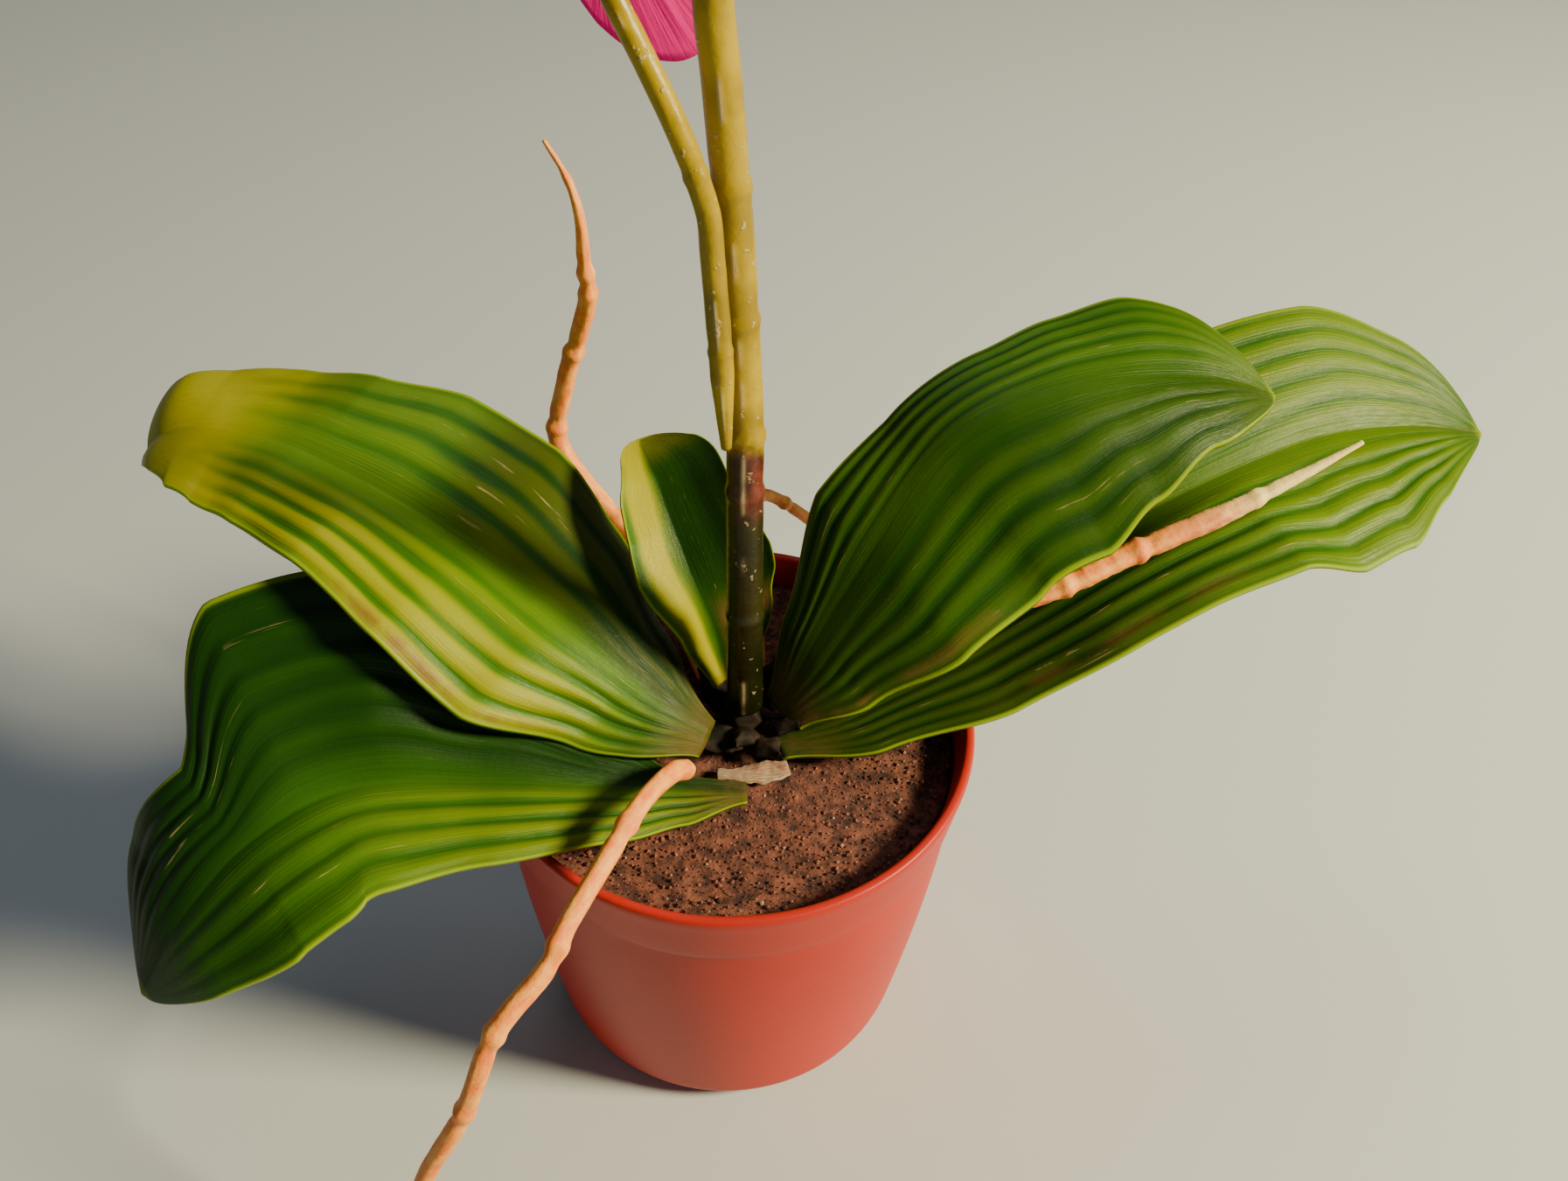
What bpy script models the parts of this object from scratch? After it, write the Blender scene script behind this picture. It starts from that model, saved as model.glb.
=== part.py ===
"""A potted moth orchid with moulded leaves, aerial roots and two flower spikes.

World frame: metres, +Z up, origin at the centre of the pot's flat foot, which rests on the ground.
+Y points to the back of the plant. The plant grows from its crown, on the soil near the pot's axis.
Route points are in millimetres from the crown's foot, which is on the soil's surface.
"""

from math import cos, pi, radians, sin

import bmesh
import bpy
from mathutils import Matrix, Vector

MM = 0.001
GAP = 0.3 * MM  # clearance between neighbouring pieces

# Pot
POT_HEIGHT = 0.105
RIM_RADIUS = 0.060
FOOT_RADIUS = 0.0435
POT_WALL = 0.0028
RIM_BAND_HEIGHT = 0.018
RIM_BAND_STEP = 0.0008
POT_SEGMENTS = 44

# Soil
SOIL_DROP = 0.008  # below the rim
SOIL_CROWN = 0.0006  # how far the middle stands above the edge
SOIL_TOP = POT_HEIGHT - SOIL_DROP + SOIL_CROWN

# Crown, where all leaves, roots and spikes start
CROWN_OFFSET = Vector((0.003, 0.0, 0.0))
CROWN_RADIUS = 0.0062
CROWN_HEIGHT = 0.0090

# Leaves
LEAF_THICKNESS = 0.0016
LEAF_WIDTH_SCALE = 1.0
LEAF_STEPS = 18
LEAF_STRIPS = 8
TIP_START = 0.80  # share of a leaf's length where its tip starts to round in

# Stems and roots
MAIN_SPIKE_RADIUS = 0.0044
SIDE_SPIKE_RADIUS = 0.0024
ROOT_RADIUS = 0.0036

# Flowers
PETAL_REACH = 0.037
SEPAL_REACH = 0.038
LIP_REACH = 0.014
PETAL_THICKNESS = 0.0009
SHEET_SPACING = 0.0022  # from the sepals to the petals and from the petals to the lip
FLOWER_CUP = 0.006  # how far the outline stands forward of the centre
PEDICEL_RADIUS = 0.0013
BUD_LENGTH = 0.022


def clear_scene():
    for obj in list(bpy.data.objects):
        bpy.data.objects.remove(obj, do_unlink=True)


def material(name, colour, roughness, metallic=0.0):
    made = bpy.data.materials.new(name)
    made.use_nodes = True
    shader = made.node_tree.nodes["Principled BSDF"]
    shader.inputs["Base Color"].default_value = (*colour, 1.0)
    shader.inputs["Roughness"].default_value = roughness
    shader.inputs["Metallic"].default_value = metallic
    return made


def add_object(name, data, finish):
    obj = bpy.data.objects.new(name, data)
    bpy.context.scene.collection.objects.link(obj)
    data.materials.append(finish)
    return obj


def mesh_object(name, vertices, faces, finish):
    """A smooth closed mesh with its faces turned outward."""
    mesh = bpy.data.meshes.new(name)
    mesh.from_pydata([tuple(v) for v in vertices], [], faces)
    work = bmesh.new()
    work.from_mesh(mesh)
    bmesh.ops.recalc_face_normals(work, faces=work.faces)
    work.to_mesh(mesh)
    work.free()
    mesh.shade_smooth()
    mesh.set_sharp_from_angle(angle=radians(50))
    return add_object(name, mesh, finish)


def crown_route(points):
    """Route points in millimetres from the crown's foot, as world vectors."""
    foot = CROWN_OFFSET + Vector((0.0, 0.0, SOIL_TOP))
    return [foot + Vector(p) * MM for p in points]


def spline(points, share):
    """The point at this share of the length of a smooth curve through the points, and its direction."""
    knots = [0.0]
    for a, b in zip(points, points[1:]):
        knots.append(knots[-1] + (b - a).length)
    place = min(max(share, 0.0), 1.0) * knots[-1]
    i = max(k for k in range(len(points) - 1) if knots[k] <= place)
    span = knots[i + 1] - knots[i]
    u = (place - knots[i]) / span
    starts = []
    for k in (i, i + 1):
        before, after = max(k - 1, 0), min(k + 1, len(points) - 1)
        starts.append((points[after] - points[before]) / (knots[after] - knots[before]))
    a, b = points[i], points[i + 1]
    ta, tb = starts[0] * span, starts[1] * span
    point = (2 * u**3 - 3 * u**2 + 1) * a + (u**3 - 2 * u**2 + u) * ta
    point = point + (3 * u**2 - 2 * u**3) * b + (u**3 - u**2) * tb
    way = (6 * u**2 - 6 * u) * (a - b) + (3 * u**2 - 4 * u + 1) * ta + (3 * u**2 - 2 * u) * tb
    return point, way.normalized()


def blend_stations(stations, share):
    """The values at this share, read smoothly between stations of (share, value, value, ...)."""
    i = max(k for k in range(len(stations) - 1) if stations[k][0] <= share)
    low, high = stations[i], stations[i + 1]
    u = (share - low[0]) / (high[0] - low[0])
    u = u * u * (3 - 2 * u) * 0.5 + u * 0.5
    return [a + (b - a) * u for a, b in zip(low[1:], high[1:])]


def turned(name, profile, finish, segments=POT_SEGMENTS, centre=Vector()):
    """A solid of revolution. The profile's first and last points are on the axis."""
    work = bmesh.new()
    chain = [work.verts.new(centre + Vector((r, 0.0, z))) for r, z in profile]
    edges = [work.edges.new(pair) for pair in zip(chain, chain[1:])]
    bmesh.ops.spin(
        work,
        geom=chain + edges,
        cent=centre,
        axis=(0.0, 0.0, 1.0),
        angle=2 * pi,
        steps=segments,
        use_merge=True,
    )
    bmesh.ops.remove_doubles(work, verts=work.verts, dist=0.00001)
    bmesh.ops.recalc_face_normals(work, faces=work.faces)
    mesh = bpy.data.meshes.new(name)
    work.to_mesh(mesh)
    work.free()
    mesh.shade_smooth()
    mesh.set_sharp_from_angle(angle=radians(50))
    return add_object(name, mesh, finish)


def tube(name, route, radius_at, finish, steps, sides_step=2):
    """A tapering round bar along a smooth curve. radius_at gives the radius at a share of its length."""
    curve = bpy.data.curves.new(name, "CURVE")
    curve.dimensions = "3D"
    curve.bevel_depth = MM
    curve.bevel_resolution = sides_step
    curve.use_fill_caps = True
    path = curve.splines.new("POLY")
    path.points.add(steps)
    for k in range(steps + 1):
        share = k / steps
        path.points[k].co = (*spline(route, share)[0], 1.0)
        path.points[k].radius = radius_at(share) / MM
    return add_object(name, curve, finish)


def taper(thick, thin, tip_share=0.0):
    """A radius that falls evenly from thick to thin, and to a blunt point over the last tip_share."""

    def radius_at(share):
        radius = thick + (thin - thick) * share
        if tip_share and share > 1 - tip_share:
            radius *= 0.2 + 0.8 * (1 - share) / tip_share
        return radius

    return radius_at


# Pot and soil


def pot_wall(z):
    """The outer radius of the pot's body at this height, below the rim band."""
    share = z / (POT_HEIGHT - RIM_BAND_HEIGHT)
    top = RIM_RADIUS - 0.0022 - RIM_BAND_STEP
    bottom = FOOT_RADIUS + 0.0055
    return bottom + (top - bottom) * (1 - (1 - share) ** 1.5)


def inner_wall(z):
    """The inner radius of the pot at this height."""
    if z > POT_HEIGHT - RIM_BAND_HEIGHT:
        share = (z - POT_HEIGHT + RIM_BAND_HEIGHT) / RIM_BAND_HEIGHT
        low = pot_wall(POT_HEIGHT - RIM_BAND_HEIGHT) - POT_WALL
        return low + (RIM_RADIUS - POT_WALL - low) * share
    return pot_wall(z) - POT_WALL


INNER_LEVELS = (0.10, 0.30, 0.55)


def build_pot():
    band = POT_HEIGHT - RIM_BAND_HEIGHT
    lip = POT_WALL / 2
    outer = [(0.0, 0.0), (FOOT_RADIUS, 0.0)]
    outer += [(FOOT_RADIUS + 0.0032, 0.0010), (FOOT_RADIUS + 0.0050, 0.0045)]
    outer += [(pot_wall(band * s), band * s) for s in (0.15, 0.30, 0.50, 0.75, 1.0)]
    outer += [(RIM_RADIUS - 0.0022, band + 0.0010)]
    outer += [(RIM_RADIUS - 0.0008, POT_HEIGHT - 0.006)]
    outer += [(RIM_RADIUS, POT_HEIGHT - 0.0014), (RIM_RADIUS - 0.0005, POT_HEIGHT - 0.0004)]
    outer += [(RIM_RADIUS - lip, POT_HEIGHT)]
    inner = [(RIM_RADIUS - POT_WALL + 0.0004, POT_HEIGHT - 0.0004)]
    inner += [(RIM_RADIUS - POT_WALL, POT_HEIGHT - 0.0014)]
    inner += [(inner_wall(POT_HEIGHT - SOIL_DROP), POT_HEIGHT - SOIL_DROP)]
    inner += [(inner_wall(band), band)]
    inner += [(inner_wall(band * s), band * s) for s in reversed(INNER_LEVELS)]
    inner += [(FOOT_RADIUS, POT_WALL), (0.0, POT_WALL)]
    coral = material("pot_plastic", (0.72, 0.12, 0.07), 0.42)
    turned("pot", outer + inner, coral)


def build_soil():
    band = POT_HEIGHT - RIM_BAND_HEIGHT
    edge = POT_HEIGHT - SOIL_DROP
    profile = [(0.0, POT_WALL + GAP), (FOOT_RADIUS - 2 * GAP, POT_WALL + GAP)]
    profile += [(inner_wall(band * s) - 2 * GAP, band * s) for s in INNER_LEVELS]
    profile += [(inner_wall(band) - 2 * GAP, band), (inner_wall(edge) - 2 * GAP, edge)]
    profile += [(RIM_RADIUS * 0.5, edge + SOIL_CROWN * 0.8), (0.0, SOIL_TOP)]
    turned("soil", profile, material("soil", (0.09, 0.035, 0.025), 0.95))


def build_crown():
    foot = CROWN_OFFSET + Vector((0.0, 0.0, SOIL_TOP + GAP))
    profile = [(0.0, 0.0), (CROWN_RADIUS, 0.0), (CROWN_RADIUS, CROWN_HEIGHT * 0.6)]
    profile += [(CROWN_RADIUS * 0.8, CROWN_HEIGHT), (0.0, CROWN_HEIGHT)]
    dark = material("crown", (0.03, 0.03, 0.02), 0.5)
    turned("crown", profile, dark, segments=16, centre=foot)


# Leaves. A leaf is a blade along its midrib. Each station gives the share of the length, then for the
# left and the right half, seen from the crown, the width in millimetres and how steeply it rises.

LEAVES = {
    "leaf_upper_left": {
        "midrib": [
            (-8, -8, 8), (-20, -6, 18), (-43, 4, 35), (-72, 20, 48),
            (-104, 36, 56), (-119, 41, 57.5), (-130, 42.5, 58), (-138, 42.5, 56), (-143, 42.5, 51),
        ],
        "stations": [
            (0.00, 7, -20, 3, 20), (0.15, 21, -30, 16, 5), (0.30, 33, -14, 30, 2),
            (0.45, 34, 3, 35, 12), (0.60, 31, 8, 35, 12), (0.72, 26.5, -1, 28, 14),
            (0.80, 24.8, -4, 26, 6), (0.90, 22.5, -2, 25, 2), (1.00, 12, 0, 27, 12),
        ],
        "arch": 14,
        "tip_power": 0.25,
        "row_lean": 0.0,
    },
    "leaf_lower_left": {
        "midrib": [
            (1, -22, 2.3), (-13, -22, 4), (-31, -24, 7), (-58, -27, 12),
            (-86, -32, 16), (-104, -43, 13), (-118, -55, 2), (-128, -64, -13),
        ],
        "stations": [
            (0.00, 2.5, 0, 3, 10), (0.10, 10, -3, 3, 10), (0.20, 15, 0, 13, 26),
            (0.40, 22, 0, 34, 34), (0.54, 28, 0, 49, 44), (0.65, 31, -2, 50, 37),
            (0.75, 30, -5, 23, 26), (0.88, 22, -8, 27, 8), (1.00, 16, -8, 26, 0),
        ],
        "arch": 10,
        "tip_power": 0.6,
    },
    "leaf_near_right": {
        "midrib": [
            (9, -2, 9), (17, 5, 25), (31, 16, 48), (45, 28, 65),
            (60, 34, 73), (83, 40, 77), (109, 44, 76), (127, 46, 70),
        ],
        "stations": [
            (0.00, 5, 10, 7, -10), (0.12, 11, 18, 20, -29), (0.28, 20, 22, 33, -29),
            (0.43, 18, 5, 40, -36), (0.60, 21, 4, 40, -38), (0.71, 24, 8, 31, -33),
            (0.83, 26, 17, 20, -24), (1.00, 24, 30, 14, -15),
        ],
        "arch": 12,
        "tip_power": 0.7,
        "row_lean": 0.6,
    },
    "leaf_far_right": {
        "midrib": [
            (7, -6, 4), (21, 0, 8), (45, 12, 17), (72, 25, 28), (97, 36, 38),
            (124, 47, 46), (150, 57, 50), (175, 63, 49), (197, 66, 45),
        ],
        "stations": [
            (0.00, 2, 10, 7, -5), (0.10, 9, 10, 18, -4), (0.25, 18, 16, 27.5, -6),
            (0.39, 26, 22, 32, 0), (0.50, 30, 25, 33, 0), (0.62, 34, 28, 35, -2),
            (0.70, 37, 31, 38.5, -14), (0.80, 36, 34, 36, -16), (0.88, 32, 36, 28, -14),
            (1.00, 32, 38, 20, -8),
        ],
        "arch": 8,
        "tip_power": 0.8,
    },
    "leaf_center": {
        "midrib": [
            (-4, 9, 9), (-7, 12, 21), (-12, 15, 35), (-17, 22, 46),
            (-21, 30, 53.5), (-24, 35.5, 57), (-25.5, 40, 58.5),
        ],
        "stations": [
            (0.00, 5, 10, 5, 30), (0.25, 10.5, 0, 16, 42), (0.50, 14, 6, 22, 50),
            (0.75, 11, 8, 18, 44), (0.90, 8, 8, 16, 36), (1.00, 8, 8, 13, 30),
        ],
        "arch": -12,
        "tip_power": 0.5,
    },
}


def half_offset(width, rise, arch, share):
    """How far out and how far up a point lies on half a leaf, at this share of the half's width."""
    out = up = 0.0
    steps = 12
    for k in range(steps):
        slope = radians(rise + arch * (1 - 2 * share * (k + 0.5) / steps))
        out += cos(slope) * share * width / steps
        up += sin(slope) * share * width / steps
    return out, up


def blade_point(leaf, along, across):
    """A point on a leaf's middle surface and the surface's upward direction there. across is -1 to 1."""
    route = crown_route(leaf["midrib"])
    centre, way = spline(route, along)
    chord = (route[-1] - route[0]).normalized()
    way = way.lerp(chord, leaf.get("row_lean", 0.2)).normalized()
    side = way.cross(Vector((0.0, 0.0, 1.0))).normalized()
    up = side.cross(way)
    left, left_rise, right, right_rise = blend_stations(leaf["stations"], along)
    width, rise = (left, left_rise) if across < 0 else (right, right_rise)
    width = width * MM * LEAF_WIDTH_SCALE
    if along > TIP_START:
        past = (along - TIP_START) / (1 - TIP_START)
        width = max(width * (1 - past * past) ** leaf["tip_power"], 0.8 * MM)
    out, height = half_offset(width, rise, leaf["arch"], abs(across))
    return centre + side * (out if across > 0 else -out) + up * height, up


def build_leaf(name, leaf, finish):
    """A closed blade: an upper and a lower skin, thinner towards the margins."""
    shares = [1 - (1 - k / LEAF_STEPS) ** 1.25 for k in range(LEAF_STEPS + 1)]
    across = [2 * k / LEAF_STRIPS - 1 for k in range(LEAF_STRIPS + 1)]
    upper, lower = [], []
    for t in shares:
        for s in across:
            point, up = blade_point(leaf, t, s)
            half = LEAF_THICKNESS / 2 * (1 - 0.35 * s * s)
            upper.append(point + up * half)
            lower.append(point - up * half)
    row = LEAF_STRIPS + 1
    count = len(upper)
    faces = []
    for i in range(LEAF_STEPS):
        for j in range(LEAF_STRIPS):
            a = i * row + j
            faces.append((a, a + 1, a + row + 1, a + row))
            faces.append((count + a, count + a + row, count + a + row + 1, count + a + 1))
        for j in (0, LEAF_STRIPS):
            a = i * row + j
            faces.append((a, a + row, count + a + row, count + a))
    for i in (0, LEAF_STEPS):
        for j in range(LEAF_STRIPS):
            a = i * row + j
            faces.append((a, a + 1, count + a + 1, count + a))
    mesh_object(name, upper + lower, faces, finish)


SHEATH = {
    "midrib": [(11, -13.5, 1.9), (7, -14.6, 1.7), (1, -15.5, 1.6), (-6, -15.5, 1.5)],
    "stations": [(0.0, 2.0, 0, 2.0, 0), (0.5, 3.0, -8, 3.0, 10), (1.0, 2.5, 0, 2.5, 0)],
    "arch": 15,
    "tip_power": 0.5,
}


def build_leaves():
    for name, leaf in LEAVES.items():
        build_leaf(name, leaf, material(name, (0.07, 0.25, 0.01), 0.32))
    build_leaf("base_sheath", SHEATH, material("base_sheath", (0.55, 0.38, 0.25), 0.8))


# Aerial roots, from the crown outward

ROOTS = {
    "aerial_root_front": (
        [
            (-13, -20, 9), (-16, -25, 14), (-22, -36, 17.5), (-29, -50, 16), (-36, -63, 12),
            (-40, -70, 7), (-50, -80, -1), (-57, -87, -19), (-69, -91, -45), (-76, -94, -68),
            (-81, -96, -86),
        ],
        0.68,
        30,
    ),
    "aerial_root_back_left": (
        [
            (-9, 14, 4), (-17, 30, 11), (-31, 50, 21), (-48, 62, 40), (-45, 62, 60),
            (-40, 60, 76), (-37, 56, 88), (-37, 54, 98), (-37, 52, 110), (-39, 54, 117),
            (-44, 58, 124),
        ],
        0.75,
        30,
    ),
    "aerial_root_back_right": (
        [(4, 13, 5), (3, 28, 19), (2, 45, 27), (5, 60, 26), (15.7, 66, 15), (25, 71, 1), (31, 74, -13)],
        0.55,
        18,
    ),
    "aerial_root_right": (
        [
            (13, 4, 12), (27, 7, 20), (47, 8, 29), (72, 10, 39), (92, 16, 46), (113, 22, 53),
            (129, 27, 59.5), (145, 32, 67),
        ],
        0.88,
        22,
    ),
}


def build_roots():
    for name, (points, size, steps) in ROOTS.items():
        radius = ROOT_RADIUS * size
        finish = material(name, (0.70, 0.28, 0.13), 0.7)
        tube(name, crown_route(points), taper(radius, radius * 0.85, 0.28), finish, steps, 1)


# Flower spikes

MAIN_SPIKE = [
    (0.5, 0, 10.0), (0, 0, 43), (-0.5, 0, 77), (-0.7, 0, 94), (-2.2, 0, 120), (-3.2, 0, 135),
    (-5.4, 0, 160), (-6.8, 0, 173.5), (-7.5, 2, 203), (-5, 8, 238), (0, 20, 273), (8, 38, 305),
    (19, 60, 331), (33, 86, 348), (49, 113, 355), (63, 138, 352),
]
SIDE_SPIKE = [
    (-4.3, -5.6, 91), (-4.9, -6.1, 103), (-5.6, -6.2, 115), (-6.9, -6.0, 132), (-7.8, -5.7, 141),
    (-12.9, -4.4, 155), (-22.5, 0, 173.5), (-37, 7, 200), (-53, 18, 228), (-71, 34, 253),
    (-89, 54, 272), (-106, 78, 283), (-121, 104, 286),
]


def side_spike_radius(share):
    grow = min(share / 0.06, 1.0)
    return SIDE_SPIKE_RADIUS * (0.45 + 0.55 * grow) * (1 - 0.45 * share)


def build_spikes():
    green = (0.42, 0.40, 0.02)
    main = taper(MAIN_SPIKE_RADIUS, MAIN_SPIKE_RADIUS * 0.36)
    tube("flower_spike_main", crown_route(MAIN_SPIKE), main, material("spike_main", green, 0.35), 40)
    side = material("spike_side", green, 0.35)
    tube("flower_spike_side", crown_route(SIDE_SPIKE), side_spike_radius, side, 32, 1)


# Flowers. Each has a three-lobed sheet of sepals, a two-lobed sheet of petals and a lip, one in front
# of the other, on a stalk from its spike. A lobe is an ellipse from the flower's centre outward.


def lobes(angle, shapes):
    """The outline's radius at this angle, for lobes of (direction in degrees, reach, width)."""
    radius = 0.0
    for direction, reach, width in shapes:
        turn = angle - radians(direction)
        if cos(turn) > 0:
            a, b = reach / 2, width / 2
            low = (b * cos(turn)) ** 2 + (a * sin(turn)) ** 2
            radius = max(radius, 2 * a * b * b * cos(turn) / low)
    return radius


def cup(distance):
    """How far forward a flower sheet stands at this distance from its centre."""
    return FLOWER_CUP * (distance / PETAL_REACH) ** 2


def petal_sheet(name, shapes, forward, placed, finish, slices, rings=3, knob=0.0):
    """A thin closed sheet around a flower's centre, cupped forward. knob raises its middle."""
    vertices = []
    for skin in (1, -1):
        half = PETAL_THICKNESS / 2 * skin
        raised = knob if skin > 0 else 0.0
        vertices.append(placed @ Vector((0.0, 0.0, forward + half + raised)))
        for ring in range(1, rings + 1):
            for k in range(slices):
                angle = 2 * pi * k / slices
                distance = lobes(angle, shapes) * ring / rings
                lift = raised if ring == 1 else 0.0
                height = forward + half + cup(distance) + lift * 0.8
                flat = Vector((cos(angle), sin(angle), 0.0)) * distance
                vertices.append(placed @ (flat + Vector((0.0, 0.0, height))))
    size = 1 + rings * slices
    faces = []
    for base, turn in ((0, 1), (size, -1)):
        for k in range(slices):
            k2 = (k + 1) % slices
            faces.append((base, base + 1 + k, base + 1 + k2)[::turn])
            for ring in range(rings - 1):
                a = base + 1 + ring * slices
                b = a + slices
                faces.append((a + k, b + k, b + k2, a + k2)[::turn])
    rim = 1 + (rings - 1) * slices
    for k in range(slices):
        k2 = (k + 1) % slices
        faces.append((rim + k, size + rim + k, size + rim + k2, rim + k2))
    mesh_object(name, vertices, faces, finish)


def facing(centre, direction, roll):
    """A flower's own frame: +Z out of its face, +Y to its top sepal, turned by roll degrees."""
    ahead = Vector(direction).normalized()
    right = Vector((0.0, 0.0, 1.0)).cross(ahead).normalized()
    top = ahead.cross(right)
    frame = Matrix((right, top, ahead)).transposed().to_4x4()
    return Matrix.Translation(centre) @ frame @ Matrix.Rotation(radians(roll), 4, "Z")


# Name, centre in millimetres from the crown's foot, direction it faces, roll in degrees,
# the spike that carries it and the share of the spike's length where its stalk leaves.
FLOWERS = [
    ("flower_1", (-26.8, 24, 184), (-0.10, 0.98, 0.10), 20, "side", 0.38),
    ("flower_2", (33, 18, 222), (0.22, 0.95, 0.15), -6, "main", 0.48),
    ("flower_3", (-33, 34, 270), (-0.18, 0.96, 0.12), 5, "main", 0.57),
    ("flower_4", (48, 42, 294), (0.30, 0.92, 0.10), -4, "main", 0.66),
    ("flower_5", (-18, 68, 330), (-0.10, 0.98, 0.05), 6, "main", 0.76),
    ("flower_6", (-88, 60, 231), (-0.45, 0.88, 0.12), 8, "side", 0.53),
]

# Name, spike, share of its length where its stalk leaves, direction it points, size.
BUDS = [
    ("bud_1", "main", 0.86, (0.85, 0.30, -0.15), 1.0),
    ("bud_2", "main", 0.92, (-0.55, 0.75, 0.10), 0.85),
    ("bud_3", "main", 1.0, (0.45, 0.80, -0.40), 0.7),
    ("bud_4", "side", 0.80, (-0.55, 0.55, -0.45), 0.85),
    ("bud_5", "side", 0.90, (0.30, 0.85, 0.10), 0.75),
    ("bud_6", "side", 1.0, (-0.35, 0.85, -0.35), 0.65),
]

SEPALS = [(90, SEPAL_REACH, 0.027), (222, SEPAL_REACH, 0.026), (318, SEPAL_REACH, 0.026)]
PETALS = [(12, PETAL_REACH, 0.046), (168, PETAL_REACH, 0.046)]
LIP = [(270, LIP_REACH, 0.011), (35, LIP_REACH * 0.7, 0.008), (145, LIP_REACH * 0.7, 0.008)]


def spikes():
    """Each spike's route, its own radius along it, and its name."""
    main = taper(MAIN_SPIKE_RADIUS, MAIN_SPIKE_RADIUS * 0.36)
    return {
        "main": (crown_route(MAIN_SPIKE), main),
        "side": (crown_route(SIDE_SPIKE), side_spike_radius),
    }


def stalk_start(spike, share, toward):
    """The point just off a spike's skin, on the side that faces toward."""
    route, radius_at = spikes()[spike]
    point, way = spline(route, share)
    if share == 1.0:
        return point + way * (2 * GAP + PEDICEL_RADIUS), way
    out = toward - point
    out = (out - way * out.dot(way)).normalized()
    return point + out * (radius_at(share) + PEDICEL_RADIUS + GAP), out


def build_flower(name, centre, direction, roll, spike, share):
    placed = facing(crown_route([centre])[0], direction, roll)
    magenta = (0.80, 0.004, 0.16)
    petal_sheet(name + "_sepals", SEPALS, 0.0, placed, material(name + "_sepals", magenta, 0.6), 24)
    petals = material(name + "_petals", magenta, 0.6)
    petal_sheet(name + "_petals", PETALS, SHEET_SPACING, placed, petals, 24)
    lip = material(name + "_lip", (0.55, 0.01, 0.08), 0.5)
    petal_sheet(name + "_lip", LIP, 2 * SHEET_SPACING, placed, lip, 18, rings=2, knob=0.005)
    back = placed @ Vector((0.0, 0.0, -PETAL_THICKNESS / 2 - 2 * GAP))
    start, out = stalk_start(spike, share, back)
    ahead = (placed.to_3x3() @ Vector((0.0, 0.0, 1.0))).normalized()
    length = (back - start).length
    knee = back - ahead * min(0.012, length * 0.4)
    route = [start, start + out * length * 0.3 + Vector((0.0, 0.0, 0.004)), knee, back]
    stalk = material(name + "_stalk", (0.45, 0.30, 0.08), 0.5)
    tube(name + "_stalk", route, taper(PEDICEL_RADIUS, PEDICEL_RADIUS), stalk, 8, 1)


def build_bud(name, spike, share, direction, size):
    """A stalk that swells into a closed egg-shaped bud, as one piece."""
    way = Vector(direction).normalized()
    start, out = stalk_start(spike, share, spline(spikes()[spike][0], share)[0] + way * 0.05)
    length = BUD_LENGTH * size
    stem = 0.012 * size
    route = [start, start + out * stem * 0.6, start + out * stem * 0.5 + way * stem * 0.6]
    route += [route[-1] + way * length * s for s in (0.35, 0.7, 1.0)]
    total = sum((b - a).length for a, b in zip(route, route[1:]))
    neck = 1 - length / total

    def radius_at(share_along):
        if share_along <= neck:
            return PEDICEL_RADIUS
        swell = (share_along - neck) / (1 - neck)
        return max(PEDICEL_RADIUS, 0.42 * length * sin(pi * min(swell, 0.97)) ** 0.6)

    tube(name, route, radius_at, material(name, (0.45, 0.05, 0.12), 0.5), 14)


def main():
    clear_scene()
    build_pot()
    build_soil()
    build_crown()
    build_leaves()
    build_roots()
    build_spikes()
    for flower in FLOWERS:
        build_flower(*flower)
    for bud in BUDS:
        build_bud(*bud)


main()
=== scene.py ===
"""The looks of the potted moth orchid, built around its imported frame.

Everything is in metres with +Z up, in the frame's coordinates. Points along leaves, roots, stems and
flowers are in millimetres from the crown's foot, as in the part's source, which holds the same routes.
"""

from math import atan2, cos, exp, pi, radians, sin

import bpy
from mathutils import Matrix, Vector, noise


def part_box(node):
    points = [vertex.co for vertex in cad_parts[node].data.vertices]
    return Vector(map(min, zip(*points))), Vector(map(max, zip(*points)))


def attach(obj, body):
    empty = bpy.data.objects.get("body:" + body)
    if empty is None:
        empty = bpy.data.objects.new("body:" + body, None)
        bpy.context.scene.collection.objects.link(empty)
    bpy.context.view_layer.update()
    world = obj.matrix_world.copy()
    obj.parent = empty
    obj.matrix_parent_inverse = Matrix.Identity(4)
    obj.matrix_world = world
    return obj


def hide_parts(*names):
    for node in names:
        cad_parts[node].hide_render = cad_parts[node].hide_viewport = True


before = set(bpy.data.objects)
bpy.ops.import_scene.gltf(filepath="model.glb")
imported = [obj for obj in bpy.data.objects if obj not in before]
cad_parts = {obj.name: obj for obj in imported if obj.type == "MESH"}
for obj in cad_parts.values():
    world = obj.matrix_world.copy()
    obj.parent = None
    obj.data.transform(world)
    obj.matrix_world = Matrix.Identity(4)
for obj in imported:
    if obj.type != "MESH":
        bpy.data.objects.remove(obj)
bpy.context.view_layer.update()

MM = 0.001
GAP = 0.3 * MM
UP = Vector((0.0, 0.0, 1.0))

POT_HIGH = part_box("pot")[1]
SOIL_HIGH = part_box("soil")[1]
CROWN_LOW, CROWN_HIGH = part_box("crown")
CROWN_FOOT = Vector(((CROWN_LOW.x + CROWN_HIGH.x) / 2, (CROWN_LOW.y + CROWN_HIGH.y) / 2, SOIL_HIGH.z))


# Numbers and curves


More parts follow.
